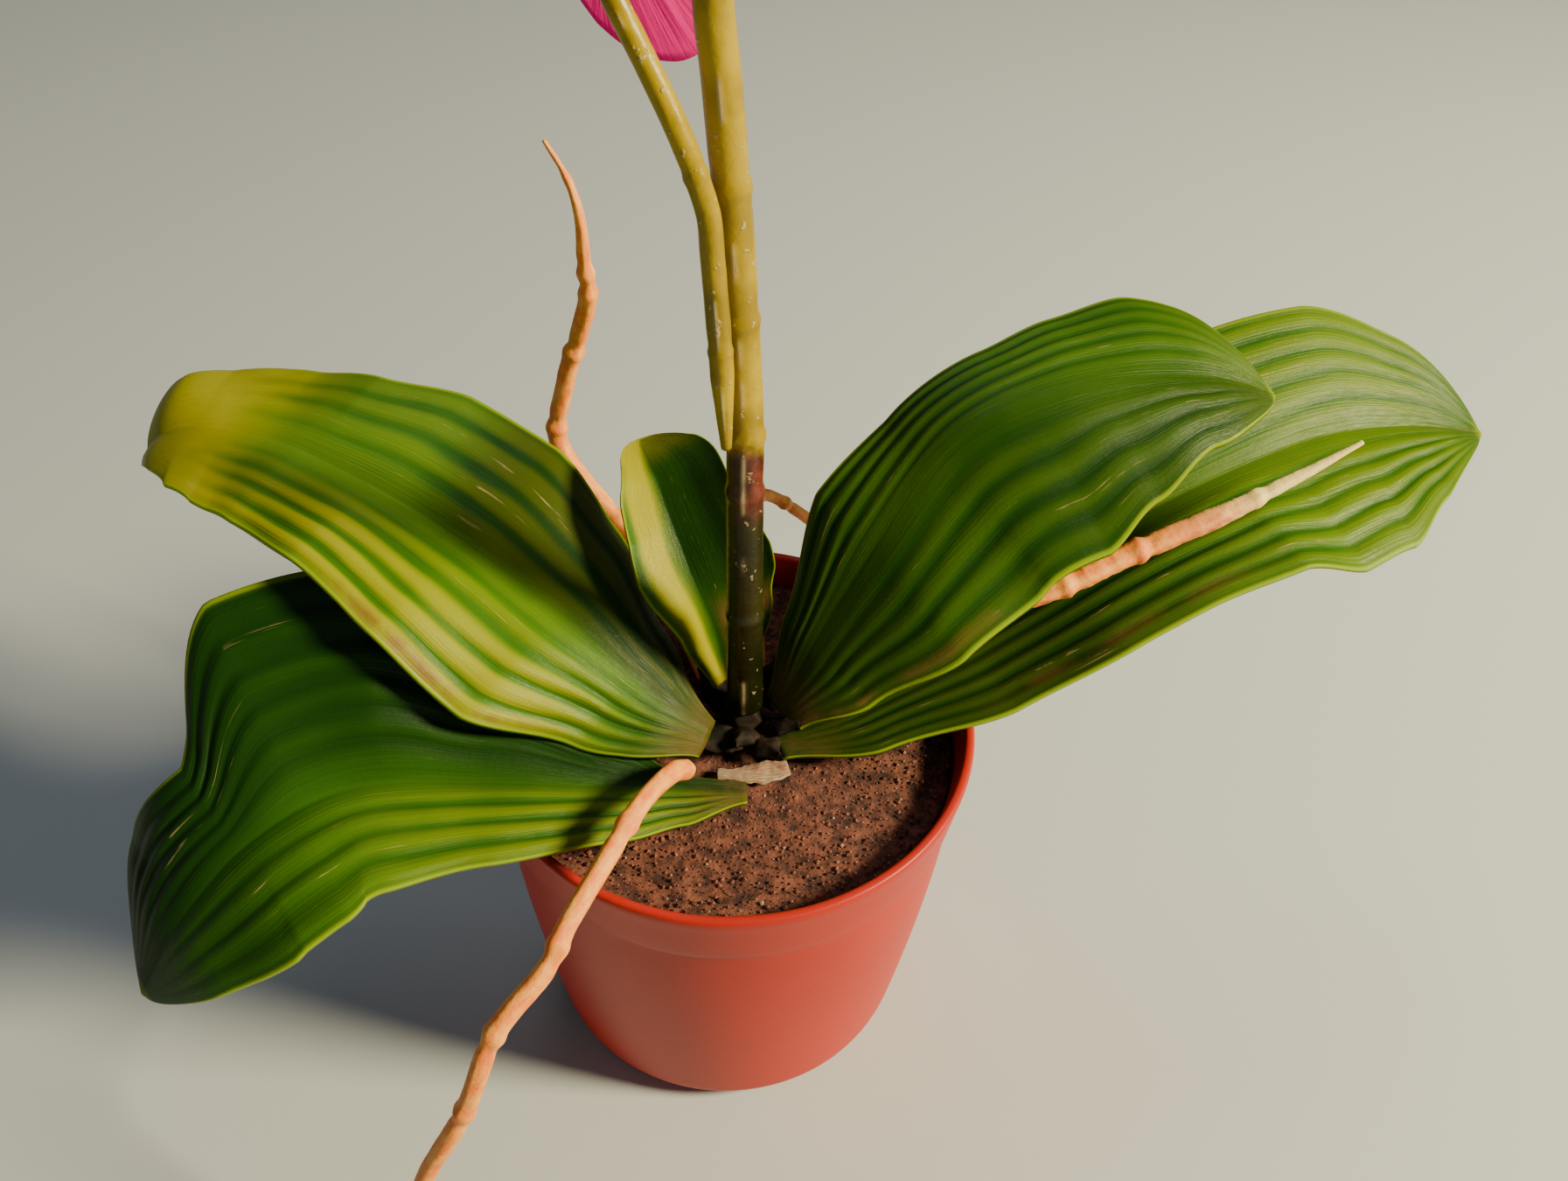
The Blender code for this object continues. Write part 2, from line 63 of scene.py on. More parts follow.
def smooth(low, high, value):
    """0 below low, 1 above high and a soft step between them."""
    share = min(max((value - low) / (high - low), 0.0), 1.0)
    return share * share * (3 - 2 * share)


def hump(value, centre, width):
    """1 at the centre, falling off on both sides."""
    return exp(-(((value - centre) / width) ** 2))


def wave(x, y=0.0, z=0.0):
    """Smooth noise from about -1 to 1."""
    return noise.noise(Vector((x, y, z)))


def scatter(k, column):
    """An even spread of numbers from 0 to 1 with no pattern, the same on each run."""
    return (sin(k * 12.9898 + column * 78.233) * 43758.5453) % 1.0


def around(sides):
    """The angles of equal steps around a circle."""
    return [2 * pi * k / sides for k in range(sides)]


def crown_route(points):
    return [CROWN_FOOT + Vector(p) * MM for p in points]


def spline(points, share):
    """The point at this share of the length of a smooth curve through the points, and its direction."""
    knots = [0.0]
    for a, b in zip(points, points[1:]):
        knots.append(knots[-1] + (b - a).length)
    place = min(max(share, 0.0), 1.0) * knots[-1]
    i = max(k for k in range(len(points) - 1) if knots[k] <= place)
    span = knots[i + 1] - knots[i]
    u = (place - knots[i]) / span
    starts = []
    for k in (i, i + 1):
        before, after = max(k - 1, 0), min(k + 1, len(points) - 1)
        starts.append((points[after] - points[before]) / (knots[after] - knots[before]))
    a, b = points[i], points[i + 1]
    ta, tb = starts[0] * span, starts[1] * span
    point = (2 * u**3 - 3 * u**2 + 1) * a + (u**3 - 2 * u**2 + u) * ta
    point = point + (3 * u**2 - 2 * u**3) * b + (u**3 - u**2) * tb
    way = (6 * u**2 - 6 * u) * (a - b) + (3 * u**2 - 4 * u + 1) * ta + (3 * u**2 - 2 * u) * tb
    return point, way.normalized()


def blend_stations(stations, share):
    """The values at this share, read smoothly between stations of (share, value, value, ...)."""
    i = max(k for k in range(len(stations) - 1) if stations[k][0] <= share)
    low, high = stations[i], stations[i + 1]
    u = (share - low[0]) / (high[0] - low[0])
    u = u * u * (3 - 2 * u) * 0.5 + u * 0.5
    return [a + (b - a) * u for a, b in zip(low[1:], high[1:])]


# Pieces


def add_object(name, data):
    made = bpy.data.objects.new(name, data)
    bpy.context.scene.collection.objects.link(made)
    return made


def add_piece(name, vertices, faces, finish, replaced=(), marks=None):
    """A smooth mesh that rides on the plant. marks holds named values, three for each vertex."""
    mesh = bpy.data.meshes.new(name)
    mesh.from_pydata([tuple(v) for v in vertices], [], faces)
    mesh.shade_smooth()
    for mark, values in (marks or {}).items():
        layer = mesh.attributes.new(mark, "FLOAT_VECTOR", "POINT")
        layer.data.foreach_set("vector", [number for value in values for number in value])
    piece = add_object(name, mesh)
    mesh.materials.append(finish)
    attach(piece, "root")
    if replaced:
        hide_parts(*replaced)
    return piece


def turned_faces(rings, sides):
    """Faces of a turned surface whose first and last points are single vertices on the axis."""
    faces = []
    for k in range(sides):
        k2 = (k + 1) % sides
        faces.append((0, 1 + k2, 1 + k))
        for ring in range(rings - 1):
            a = 1 + ring * sides
            faces.append((a + k, a + k2, a + sides + k2, a + sides + k))
        last = 1 + (rings - 1) * sides
        faces.append((last + k, last + k2, 1 + rings * sides))
    return faces


def turned(profile, sides):
    """Vertices and faces of a solid of revolution. The profile starts and ends on the axis."""
    vertices = [UP * profile[0][1]]
    for r, z in profile[1:-1]:
        for angle in around(sides):
            vertices.append(Vector((r * cos(angle), r * sin(angle), z)))
    vertices.append(UP * profile[-1][1])
    return vertices, turned_faces(len(profile) - 2, sides)


def rounded(profile, steps=4, cut=0.45):
    """A profile with each inner corner turned into a short curve."""
    smooth_profile = [profile[0]]
    for before, here, after in zip(profile, profile[1:], profile[2:]):
        before, here, after = Vector(before), Vector(here), Vector(after)
        start, end = here.lerp(before, cut), here.lerp(after, cut)
        for k in range(steps + 1):
            u = k / steps
            point = start * (1 - u) ** 2 + here * 2 * u * (1 - u) + end * u * u
            smooth_profile.append((point.x, point.y))
    return smooth_profile + [profile[-1]]


def sheet_faces(rows, columns):
    """Faces of a closed sheet: an upper grid of points, a lower one after it and the margins."""
    row = columns + 1
    count = (rows + 1) * row
    faces = []
    for i in range(rows):
        for j in range(columns):
            a = i * row + j
            faces.append((a, a + 1, a + row + 1, a + row))
            faces.append((count + a, count + a + row, count + a + row + 1, count + a + 1))
        a = i * row
        faces.append((a, a + row, count + a + row, count + a))
        a += columns
        faces.append((count + a, count + a + row, a + row, a))
    for j in range(columns):
        faces.append((count + j, count + j + 1, j + 1, j))
        a = rows * row + j
        faces.append((a, a + 1, count + a + 1, count + a))
    return faces


def tube(route, radius_at, steps, sides, bend=None):
    """A fine tapering bar along a smooth curve. Its marks are the shares of its length and of the turn.

    radius_at takes the share of the length and the angle around. bend moves the centre line.
    """
    vertices, marks = [], []
    normal = None
    for k in range(steps + 1):
        share = k / steps
        point, way = spline(route, share)
        if normal is None:
            normal = way.cross(Vector((0.1, 0.9, 0.2))).normalized()
        normal = (normal - way * normal.dot(way)).normalized()
        other = way.cross(normal)
        if bend:
            a, b = bend(share)
            point = point + normal * a + other * b
        if k == 0:
            vertices.append(point)
            marks.append((0.0, 0.0, 0.0))
        for angle in around(sides):
            radius = radius_at(share, angle)
            vertices.append(point + (normal * cos(angle) + other * sin(angle)) * radius)
            marks.append((share, angle / (2 * pi), 0.0))
    vertices.append(point)
    marks.append((1.0, 0.0, 0.0))
    return vertices, turned_faces(steps + 1, sides), marks


# Materials. A socket is given a number, a colour or another node's output.


def feed(socket, value):
    if isinstance(value, bpy.types.NodeSocket):
        socket.id_data.links.new(value, socket)
    elif socket.type == "RGBA":
        socket.default_value = (*value, 1.0)
    else:
        socket.default_value = value


def start_material(name):
    made = bpy.data.materials.new(name)
    made.use_nodes = True
    return made, made.node_tree


def coat(made, colour, roughness, height, depth, strength, specular=0.5):
    """The material with its colour, its roughness and a fine relief that is depth metres deep."""
    shader = made.node_tree.nodes["Principled BSDF"]
    feed(shader.inputs["Base Color"], colour)
    feed(shader.inputs["Roughness"], roughness)
    feed(shader.inputs["Specular IOR Level"], specular)
    relief = made.node_tree.nodes.new("ShaderNodeBump")
    relief.inputs["Strength"].default_value = strength
    relief.inputs["Distance"].default_value = depth
    feed(relief.inputs["Height"], height)
    feed(shader.inputs["Normal"], relief.outputs["Normal"])
    return made


def marked(tree, name):
    """The three values of a piece's own marks."""
    reader = tree.nodes.new("ShaderNodeAttribute")
    reader.attribute_name = name
    parts = tree.nodes.new("ShaderNodeSeparateXYZ")
    feed(parts.inputs[0], reader.outputs["Vector"])
    return parts.outputs


def maths(operation, total, values):
    """The values joined by this operation, from left to right. The first one is a node's output."""
    for value in values:
        node = total.id_data.nodes.new("ShaderNodeMath")
        node.operation = operation
        feed(node.inputs[0], total)
        feed(node.inputs[1], value)
        total = node.outputs[0]
    return total


def plus(first, *others):
    return maths("ADD", first, others)


def times(first, *others):
    return maths("MULTIPLY", first, others)


def step(value, low, high):
    """0 at low and 1 at high, with a soft change between them."""
    node = value.id_data.nodes.new("ShaderNodeMapRange")
    node.interpolation_type = "SMOOTHSTEP"
    feed(node.inputs["Value"], value)
    node.inputs["From Min"].default_value = low
    node.inputs["From Max"].default_value = high
    return node.outputs["Result"]


def noise_of(tree, scale, detail, roughness, vector=None):
    """Noise in the piece's own space, or over another vector."""
    node = tree.nodes.new("ShaderNodeTexNoise")
    if vector is None:
        vector = tree.nodes.new("ShaderNodeTexCoord").outputs["Object"]
    feed(node.inputs["Vector"], vector)
    node.inputs["Scale"].default_value = scale
    node.inputs["Detail"].default_value = detail
    node.inputs["Roughness"].default_value = roughness
    return node.outputs["Fac"]


def patches_of(tree, scale, detail, roughness, low, high):
    return step(noise_of(tree, scale, detail, roughness), low, high)


def streaks_of(a, a_scale, b, b_scale, detail, roughness):
    """Noise over two of a piece's own marks, each scaled by itself, so that it makes streaks."""
    plane = a.id_data.nodes.new("ShaderNodeCombineXYZ")
    feed(plane.inputs[0], times(a, a_scale))
    feed(plane.inputs[1], times(b, b_scale))
    return noise_of(a.id_data, 1.0, detail, roughness, plane.outputs[0])


def mix(share, a, b):
    node = share.id_data.nodes.new("ShaderNodeMix")
    node.data_type = "RGBA"
    feed(node.inputs["Factor"], share)
    feed(node.inputs[6], a)
    feed(node.inputs[7], b)
    return node.outputs[2]


DEEP_GREEN = (0.006, 0.034, 0.001)
MID_GREEN = (0.022, 0.092, 0.0)
BRIGHT_GREEN = (0.092, 0.225, 0.0)
# Painted light: the yellowish green of rib tops that face the key light.
LIT_YELLOW_GREEN = (0.330, 0.320, 0.0)
# Painted light: the bright green of a leaf's rim, as if lit from behind.
LIT_RIM_GREEN = (0.24, 0.36, 0.0)
TAN = (0.50, 0.36, 0.17)
DRY_BROWN = (0.20, 0.085, 0.03)


def leaf_material():
    """Moulded leaf with worn tan lines and dry brown patches. Painted light and shade: its ribs lighter
    and hollows deeper in part, darker where it is shaded, a yellowish highlight where it faces the key
    light and a bright rim.
    """
    made, tree = start_material("leaf_skin")
    along, across, rib = marked(tree, "blade")
    lit_yellow, brown, rim = marked(tree, "lit_and_dry")
    # The depth mark is painted shade: it darkens the leaf where it lies in shade.
    shade = marked(tree, "depth")[0]
    cloud = noise_of(tree, 22.0, 3.0, 0.55)
    strands = streaks_of(along, 5.0, across, 60.0, 4.0, 0.6)
    # Partly painted shade and light: the green is deeper in the hollows between the ribs and lighter on
    # their tops, over the leaf's own uneven tone; the depth mark's painted shade darkens it further.
    lift = plus(times(rib, 0.26), times(cloud, 0.5), times(strands, 0.25))
    lift = plus(lift, 0.27, times(shade, -0.46))
    colour = mix(step(lift, 0.10, 0.70), DEEP_GREEN, MID_GREEN)
    colour = mix(times(step(lift, 0.50, 1.10), 0.90), colour, BRIGHT_GREEN)
    # Painted highlight: yellowish green on the rib tops where the leaf faces the key light.
    lit_ribs = times(lit_yellow, step(plus(rib, cloud), 0.75, 1.35))
    colour = mix(lit_ribs, colour, LIT_YELLOW_GREEN)
    lines = streaks_of(along, 7.0, across, 34.0, 2.0, 0.5)
    broken = noise_of(tree, 140.0, 3.0, 0.6)
    worn = times(step(lines, 0.63, 0.70), step(broken, 0.42, 0.58))
    worn = times(worn, step(rib, 0.55, 0.95))
    colour = mix(times(worn, 0.65), colour, TAN)
    dry = times(brown, patches_of(tree, 90.0, 4.0, 0.6, 0.35, 0.6))
    colour = mix(dry, colour, DRY_BROWN)
    # Painted light: a bright rim along the margins and the tip.
    colour = mix(times(rim, 0.85), colour, LIT_RIM_GREEN)
    roughness = plus(times(cloud, 0.22), 0.26, times(worn, 0.3))
    grain = noise_of(tree, 900.0, 3.0, 0.6)
    height = plus(times(grain, 0.25), strands, times(worn, 0.5))
    return coat(made, colour, roughness, height, 0.00035, 0.6, 0.20)


CORAL = (0.42, 0.018, 0.008)
LIGHT_CORAL = (0.52, 0.026, 0.012)
SCUFF = (0.72, 0.22, 0.14)


def pot_material():
    """Satin coral plastic with faint scuffs and a fine moulded skin."""
    made, tree = start_material("pot_plastic")
    cloud = noise_of(tree, 14.0, 3.0, 0.5)
    colour = mix(step(cloud, 0.3, 0.7), CORAL, LIGHT_CORAL)
    scuff = patches_of(tree, 260.0, 5.0, 0.7, 0.60, 0.74)
    patches = patches_of(tree, 30.0, 2.0, 0.5, 0.45, 0.7)
    colour = mix(times(scuff, patches, 0.16), colour, SCUFF)
    roughness = plus(times(cloud, 0.2), 0.32)
    return coat(made, colour, roughness, noise_of(tree, 700.0, 3.0, 0.6), 0.0001, 0.5, 0.28)


DARK_EARTH = (0.034, 0.012, 0.009)
EARTH = (0.200, 0.068, 0.042)
DRY_EARTH = (0.260, 0.098, 0.062)
PALE_GRAIN = (0.42, 0.27, 0.22)
RED_GRAIN = (0.40, 0.012, 0.030)


def soil_material(name, coarse):
    """Dark potting mix. coarse is true for the loose granules, a few of which are pale or red."""
    made, tree = start_material(name)
    cloud = noise_of(tree, 260.0, 5.0, 0.7)
    colour = mix(step(cloud, 0.35, 0.65), DARK_EARTH, EARTH)
    if coarse:
        kind, shade = marked(tree, "grain")[:2]
        colour = mix(step(shade, 0.1, 1.0), colour, DRY_EARTH)
        colour = mix(step(kind, 0.925, 0.93), colour, PALE_GRAIN)
        colour = mix(step(kind, 0.985, 0.99), colour, RED_GRAIN)
    return coat(made, colour, 0.92, cloud, 0.0011, 1.0)


OLIVE = (0.22, 0.150, 0.0)
LIGHT_OLIVE = (0.42, 0.300, 0.0)
BLACK_OLIVE = (0.006, 0.008, 0.001)
DARK_OLIVE = (0.026, 0.024, 0.003)
DEEP_BROWN = (0.040, 0.008, 0.005)
BROWN = (0.160, 0.034, 0.018)
SPECKS = (0.50, 0.42, 0.26)
GLUE = (0.62, 0.50, 0.26)
# Where the brown joint starts and ends, in millimetres above the crown's foot.
JOINT_START = (75.0, 84.0)
JOINT_END = (92.0, 97.5)


def stem_material():
    """Olive moulded stem: brown at the joint above the crown, dark below it, with pale glue flecks."""
    made, tree = start_material("stem_skin")
    height, fleck = marked(tree, "stem")[:2]
    cloud = noise_of(tree, 60.0, 4.0, 0.6)
    patches = step(cloud, 0.3, 0.7)
    foot = mix(patches, BLACK_OLIVE, DARK_OLIVE)
    joint = mix(patches_of(tree, 190.0, 4.0, 0.6, 0.35, 0.65), DEEP_BROWN, BROWN)
    ragged = plus(height, times(cloud, 14.0))
    colour = mix(step(ragged, *JOINT_END), joint, mix(patches, OLIVE, LIGHT_OLIVE))
    colour = mix(step(ragged, *JOINT_START), foot, colour)
    specks = patches_of(tree, 420.0, 2.0, 0.5, 0.66, 0.72)
    colour = mix(times(specks, 0.5), colour, SPECKS)
    colour = mix(fleck, colour, GLUE)
    roughness = plus(times(cloud, 0.25), 0.22)
    height = plus(noise_of(tree, 500.0, 3.0, 0.6), specks)
    return coat(made, colour, roughness, height, 0.0003, 0.5, 0.3)


ORANGE = (0.92, 0.200, 0.022)
AMBER = (1.0, 0.440, 0.070)
# Painted highlight: the pale colour of the brightly lit tip of a root.
LIT_CREAM = (1.0, 0.82, 0.30)
RUSSET = (0.62, 0.03, 0.02)


def root_material(name):
    """Mottled orange aerial root, with a painted highlight that turns its tip pale where the key light
    falls on it, and a russet stretch where its marks say so.
    """
    made, tree = start_material(name)
    share, angle = marked(tree, "run")[:2]
    lit_cream, red = marked(tree, "root")[:2]
    streaks = streaks_of(share, 26.0, angle, 9.0, 4.0, 0.65)
    mottle = noise_of(tree, 330.0, 4.0, 0.65)
    shade = plus(times(streaks, 0.6), times(mottle, 0.4))
    colour = mix(step(shade, 0.38, 0.62), ORANGE, AMBER)
    colour = mix(lit_cream, colour, LIT_CREAM)
    colour = mix(times(red, step(shade, 0.36, 0.60)), colour, RUSSET)
    return coat(made, colour, 0.62, mottle, 0.0004, 0.7)


def petal_material(name, colour, vein, centre):
    """Velvety petal: darker veins that fan out from the middle, and another colour at the heart."""
    made, tree = start_material(name)
    reach, turn = marked(tree, "petal")[:2]
    fan = streaks_of(turn, 46.0, reach, 2.0, 3.0, 0.55)
    cloud = noise_of(tree, 60.0, 3.0, 0.5)
    shade = mix(step(fan, 0.50, 0.62), colour, vein)
    shade = mix(times(step(cloud, 0.3, 0.8), 0.35), shade, vein)
    shade = mix(step(reach, 0.22, 0.05), shade, centre)
    grain = plus(fan, times(noise_of(tree, 800.0, 2.0, 0.5), 0.3))
    return coat(made, shade, 0.62, grain, 0.0003, 0.5, 0.2)


def stalk_material(name, low, high):
    """A stalk or bud that changes colour along its length."""
    made, tree = start_material(name)
    mottle = noise_of(tree, 260.0, 4.0, 0.6)
    blend = plus(marked(tree, "run")[0], times(mottle, 0.35))
    colour = mix(step(blend, 0.30, 1.05), low, high)
    return coat(made, colour, 0.42, mottle, 0.0002, 0.5)


DARK_FIBRE = (0.20, 0.10, 0.055)
PALE_FIBRE = (0.56, 0.40, 0.26)
BLOTCH = (0.34, 0.07, 0.045)


def paper_material():
    """Dry crumpled leaf base: tan with reddish brown blotches and fine fibres."""
    made, tree = start_material("dry_sheath")
    along, across = marked(tree, "blade")[:2]
    blotch = patches_of(tree, 180.0, 4.0, 0.6, 0.52, 0.66)
    fibres = streaks_of(along, 3.0, across, 22.0, 3.0, 0.6)
    colour = mix(step(fibres, 0.35, 0.65), DARK_FIBRE, PALE_FIBRE)
    colour = mix(times(blotch, 0.8), colour, BLOTCH)
    return coat(made, colour, 0.8, fibres, 0.0004, 0.8)


def crown_shade_material():
    """Near-black painted shade for the crown core and for the bracts, which fill the gaps between the
    leaf bases.
    """
    made, tree = start_material("crown_shade_bracts")
    cloud = noise_of(tree, 200.0, 4.0, 0.6)
    colour = mix(step(cloud, 0.40, 0.68), (0.006, 0.006, 0.004), (0.034, 0.020, 0.014))
    return coat(made, colour, 0.7, cloud, 0.0004, 0.6, 0.15)


# Pot and soil

POT_HEIGHT = POT_HIGH.z
RIM_RADIUS = POT_HIGH.x
FOOT_RADIUS = 0.0435
POT_WALL = 0.0028
RIM_BAND_HEIGHT = 0.018
RIM_BAND_STEP = 0.0008
BAND = POT_HEIGHT - RIM_BAND_HEIGHT
WALL_STEPS = (0.08, 0.15, 0.22, 0.30, 0.40, 0.50, 0.62, 0.75, 0.88, 0.985)
POT_SIDES = 176
SOIL_EDGE = POT_HEIGHT - 0.008
SOIL_SIDES = 200
SOIL_RINGS = 56
GRANULES = 3600
GRANULE_DRIFT = 0.0016
GOLDEN_ANGLE = 2.399963


def pot_wall(z):
    """The outer radius of the pot's body at this height, below the rim band."""
    share = z / BAND
    top = RIM_RADIUS - 0.0022 - RIM_BAND_STEP
    bottom = FOOT_RADIUS + 0.0055
    return bottom + (top - bottom) * (1 - (1 - share) ** 1.5)


def inner_wall(z):
    if z > BAND:
        low = pot_wall(BAND) - POT_WALL
        return low + (RIM_RADIUS - POT_WALL - low) * (z - BAND) / RIM_BAND_HEIGHT
    return pot_wall(z) - POT_WALL


def build_pot():
    """The shell, with a recessed foot, the step under the rim band and a slightly uneven moulded lip."""
    outer = [(0.0, 0.0012), (FOOT_RADIUS - 0.004, 0.0012), (FOOT_RADIUS - 0.0030, 0.0)]
    outer += [(FOOT_RADIUS, 0.0), (FOOT_RADIUS + 0.0032, 0.0010), (FOOT_RADIUS + 0.0050, 0.0045)]
    outer += [(pot_wall(BAND * s), BAND * s) for s in WALL_STEPS]
    outer += [(pot_wall(BAND) + 0.0001, BAND - 0.0002), (RIM_RADIUS - 0.0022, BAND + 0.0008)]
    outer += [(RIM_RADIUS - 0.0015, BAND + 0.006), (RIM_RADIUS - 0.0008, POT_HEIGHT - 0.006)]
    outer += [(RIM_RADIUS - 0.0001, POT_HEIGHT - 0.0016), (RIM_RADIUS - 0.0004, POT_HEIGHT - 0.0003)]
    outer += [(RIM_RADIUS - POT_WALL / 2, POT_HEIGHT)]
    inner = [(RIM_RADIUS - POT_WALL + 0.0003, POT_HEIGHT - 0.0003)]
    inner += [(RIM_RADIUS - POT_WALL, POT_HEIGHT - 0.0016)]
    levels = (POT_HEIGHT - 0.004, SOIL_HIGH.z, BAND, BAND * 0.55, BAND * 0.3, BAND * 0.1)
    inner += [(inner_wall(z), z) for z in levels]
    inner += [(FOOT_RADIUS, POT_WALL), (0.0, POT_WALL)]
    vertices, faces = turned(rounded(outer + inner), POT_SIDES)
    for v in vertices:
        angle = atan2(v.y, v.x)
        lip = smooth(POT_HEIGHT - 0.004, POT_HEIGHT, v.z)
        v.z -= lip * 0.00018 * (1 + wave(cos(angle) * 4, sin(angle) * 4, 3.0))
        out = 1 + 0.0012 * wave(cos(angle) * 1.5, sin(angle) * 1.5, v.z * 12)
        v.x *= out
        v.y *= out
    add_piece("pot_shell", vertices, faces, pot_material(), ["pot"])


def soil_height(x, y):
    """How far the soil's surface stands above its mean, in millimetres."""
    low = 0.55 * wave(x * 60, y * 60, 1.0)
    return low + 0.35 * wave(x * 230, y * 230, 2.0) + 0.22 * wave(x * 700, y * 700, 5.0)


def build_soil():
    """A closed bed that fills the pot, with a crumbly top."""
    vertices = [UP * SOIL_HIGH.z]
    for ring in range(1, SOIL_RINGS + 1):
        radius = (inner_wall(SOIL_EDGE) - 2 * GAP) * ring / SOIL_RINGS
        for angle in around(SOIL_SIDES):
            x, y = radius * cos(angle), radius * sin(angle)
            dome = 0.0006 * (1 - (ring / SOIL_RINGS) ** 2)
            level = SOIL_EDGE + dome - 0.0004 + soil_height(x, y) * MM
            if ring == SOIL_RINGS:
                level -= 0.0006
            vertices.append(Vector((x, y, level)))
    levels = (1.0, 0.55, 0.30, 0.10)
    for s in levels:
        for angle in around(SOIL_SIDES):
            radius = inner_wall(BAND * s) - 2 * GAP
            vertices.append(Vector((radius * cos(angle), radius * sin(angle), BAND * s)))
    vertices.append(UP * (POT_WALL + GAP))
    faces = [face[::-1] for face in turned_faces(SOIL_RINGS + len(levels), SOIL_SIDES)]
    add_piece("soil_bed", vertices, faces, soil_material("soil_fine", False), ["soil"])


def lump(centre, size, seed, vertices, faces):
    """A small rough stone: an eight-sided double cone with uneven corners."""
    base = len(vertices)
    corners = [(1, 0, 0), (0.3, 0.9, 0.3), (-0.9, 0.5, -0.2), (-0.7, -0.7, 0.3), (0.4, -0.9, -0.2)]
    for k, corner in enumerate(corners + [(0, 0.1, 0.9), (0.1, 0, -0.9)]):
        stretch = 0.8 + 0.35 * wave(seed * 3.7 + k * 1.3, seed * 1.9)
        turn = Matrix.Rotation(seed * 2.4, 3, "Z")
        vertices.append(centre + turn @ Vector(corner) * size * stretch)
    for k in range(5):
        k2 = (k + 1) % 5
        faces.append((base + k, base + k2, base + 5))
        faces.append((base + k2, base + k, base + 6))


def build_granules():
    """Loose granules on the soil, at even steps of a spiral that a little noise breaks up."""
    vertices, faces, marks = [], [], []
    reach = inner_wall(SOIL_EDGE) - 0.0016
    for k in range(GRANULES):
        radius = reach * ((k + 0.5) / GRANULES) ** 0.5
        angle = k * GOLDEN_ANGLE
        radius = min(radius + GRANULE_DRIFT * (scatter(k, 1) - 0.5), reach)
        x, y = radius * cos(angle), radius * sin(angle) + GRANULE_DRIFT * (scatter(k, 2) - 0.5)
        shade, kind = scatter(k, 3), scatter(k, 4)
        size = (0.30 + 0.60 * scatter(k, 5) ** 4) * MM
        z = SOIL_EDGE + soil_height(x, y) * MM + 0.00015
        before = len(vertices)
        lump(Vector((x, y, z)), size, k * 0.137, vertices, faces)
        marks += [(kind, shade, 0.0)] * (len(vertices) - before)
    coarse = soil_material("soil_coarse", True)
    piece = add_piece("soil_granules", vertices, faces, coarse, marks={"grain": marks})
    piece.data.shade_flat()


# Leaves

LEAF_THICKNESS = 1.6
TIP_START = 0.80
LEAF_ROWS = 170
LEAF_COLUMNS = 132
PLAIN_LEAF = {"row_lean": 0.2, "smooth_middle": 0.30, "sway": (0.0, 0.5, 0.1)}

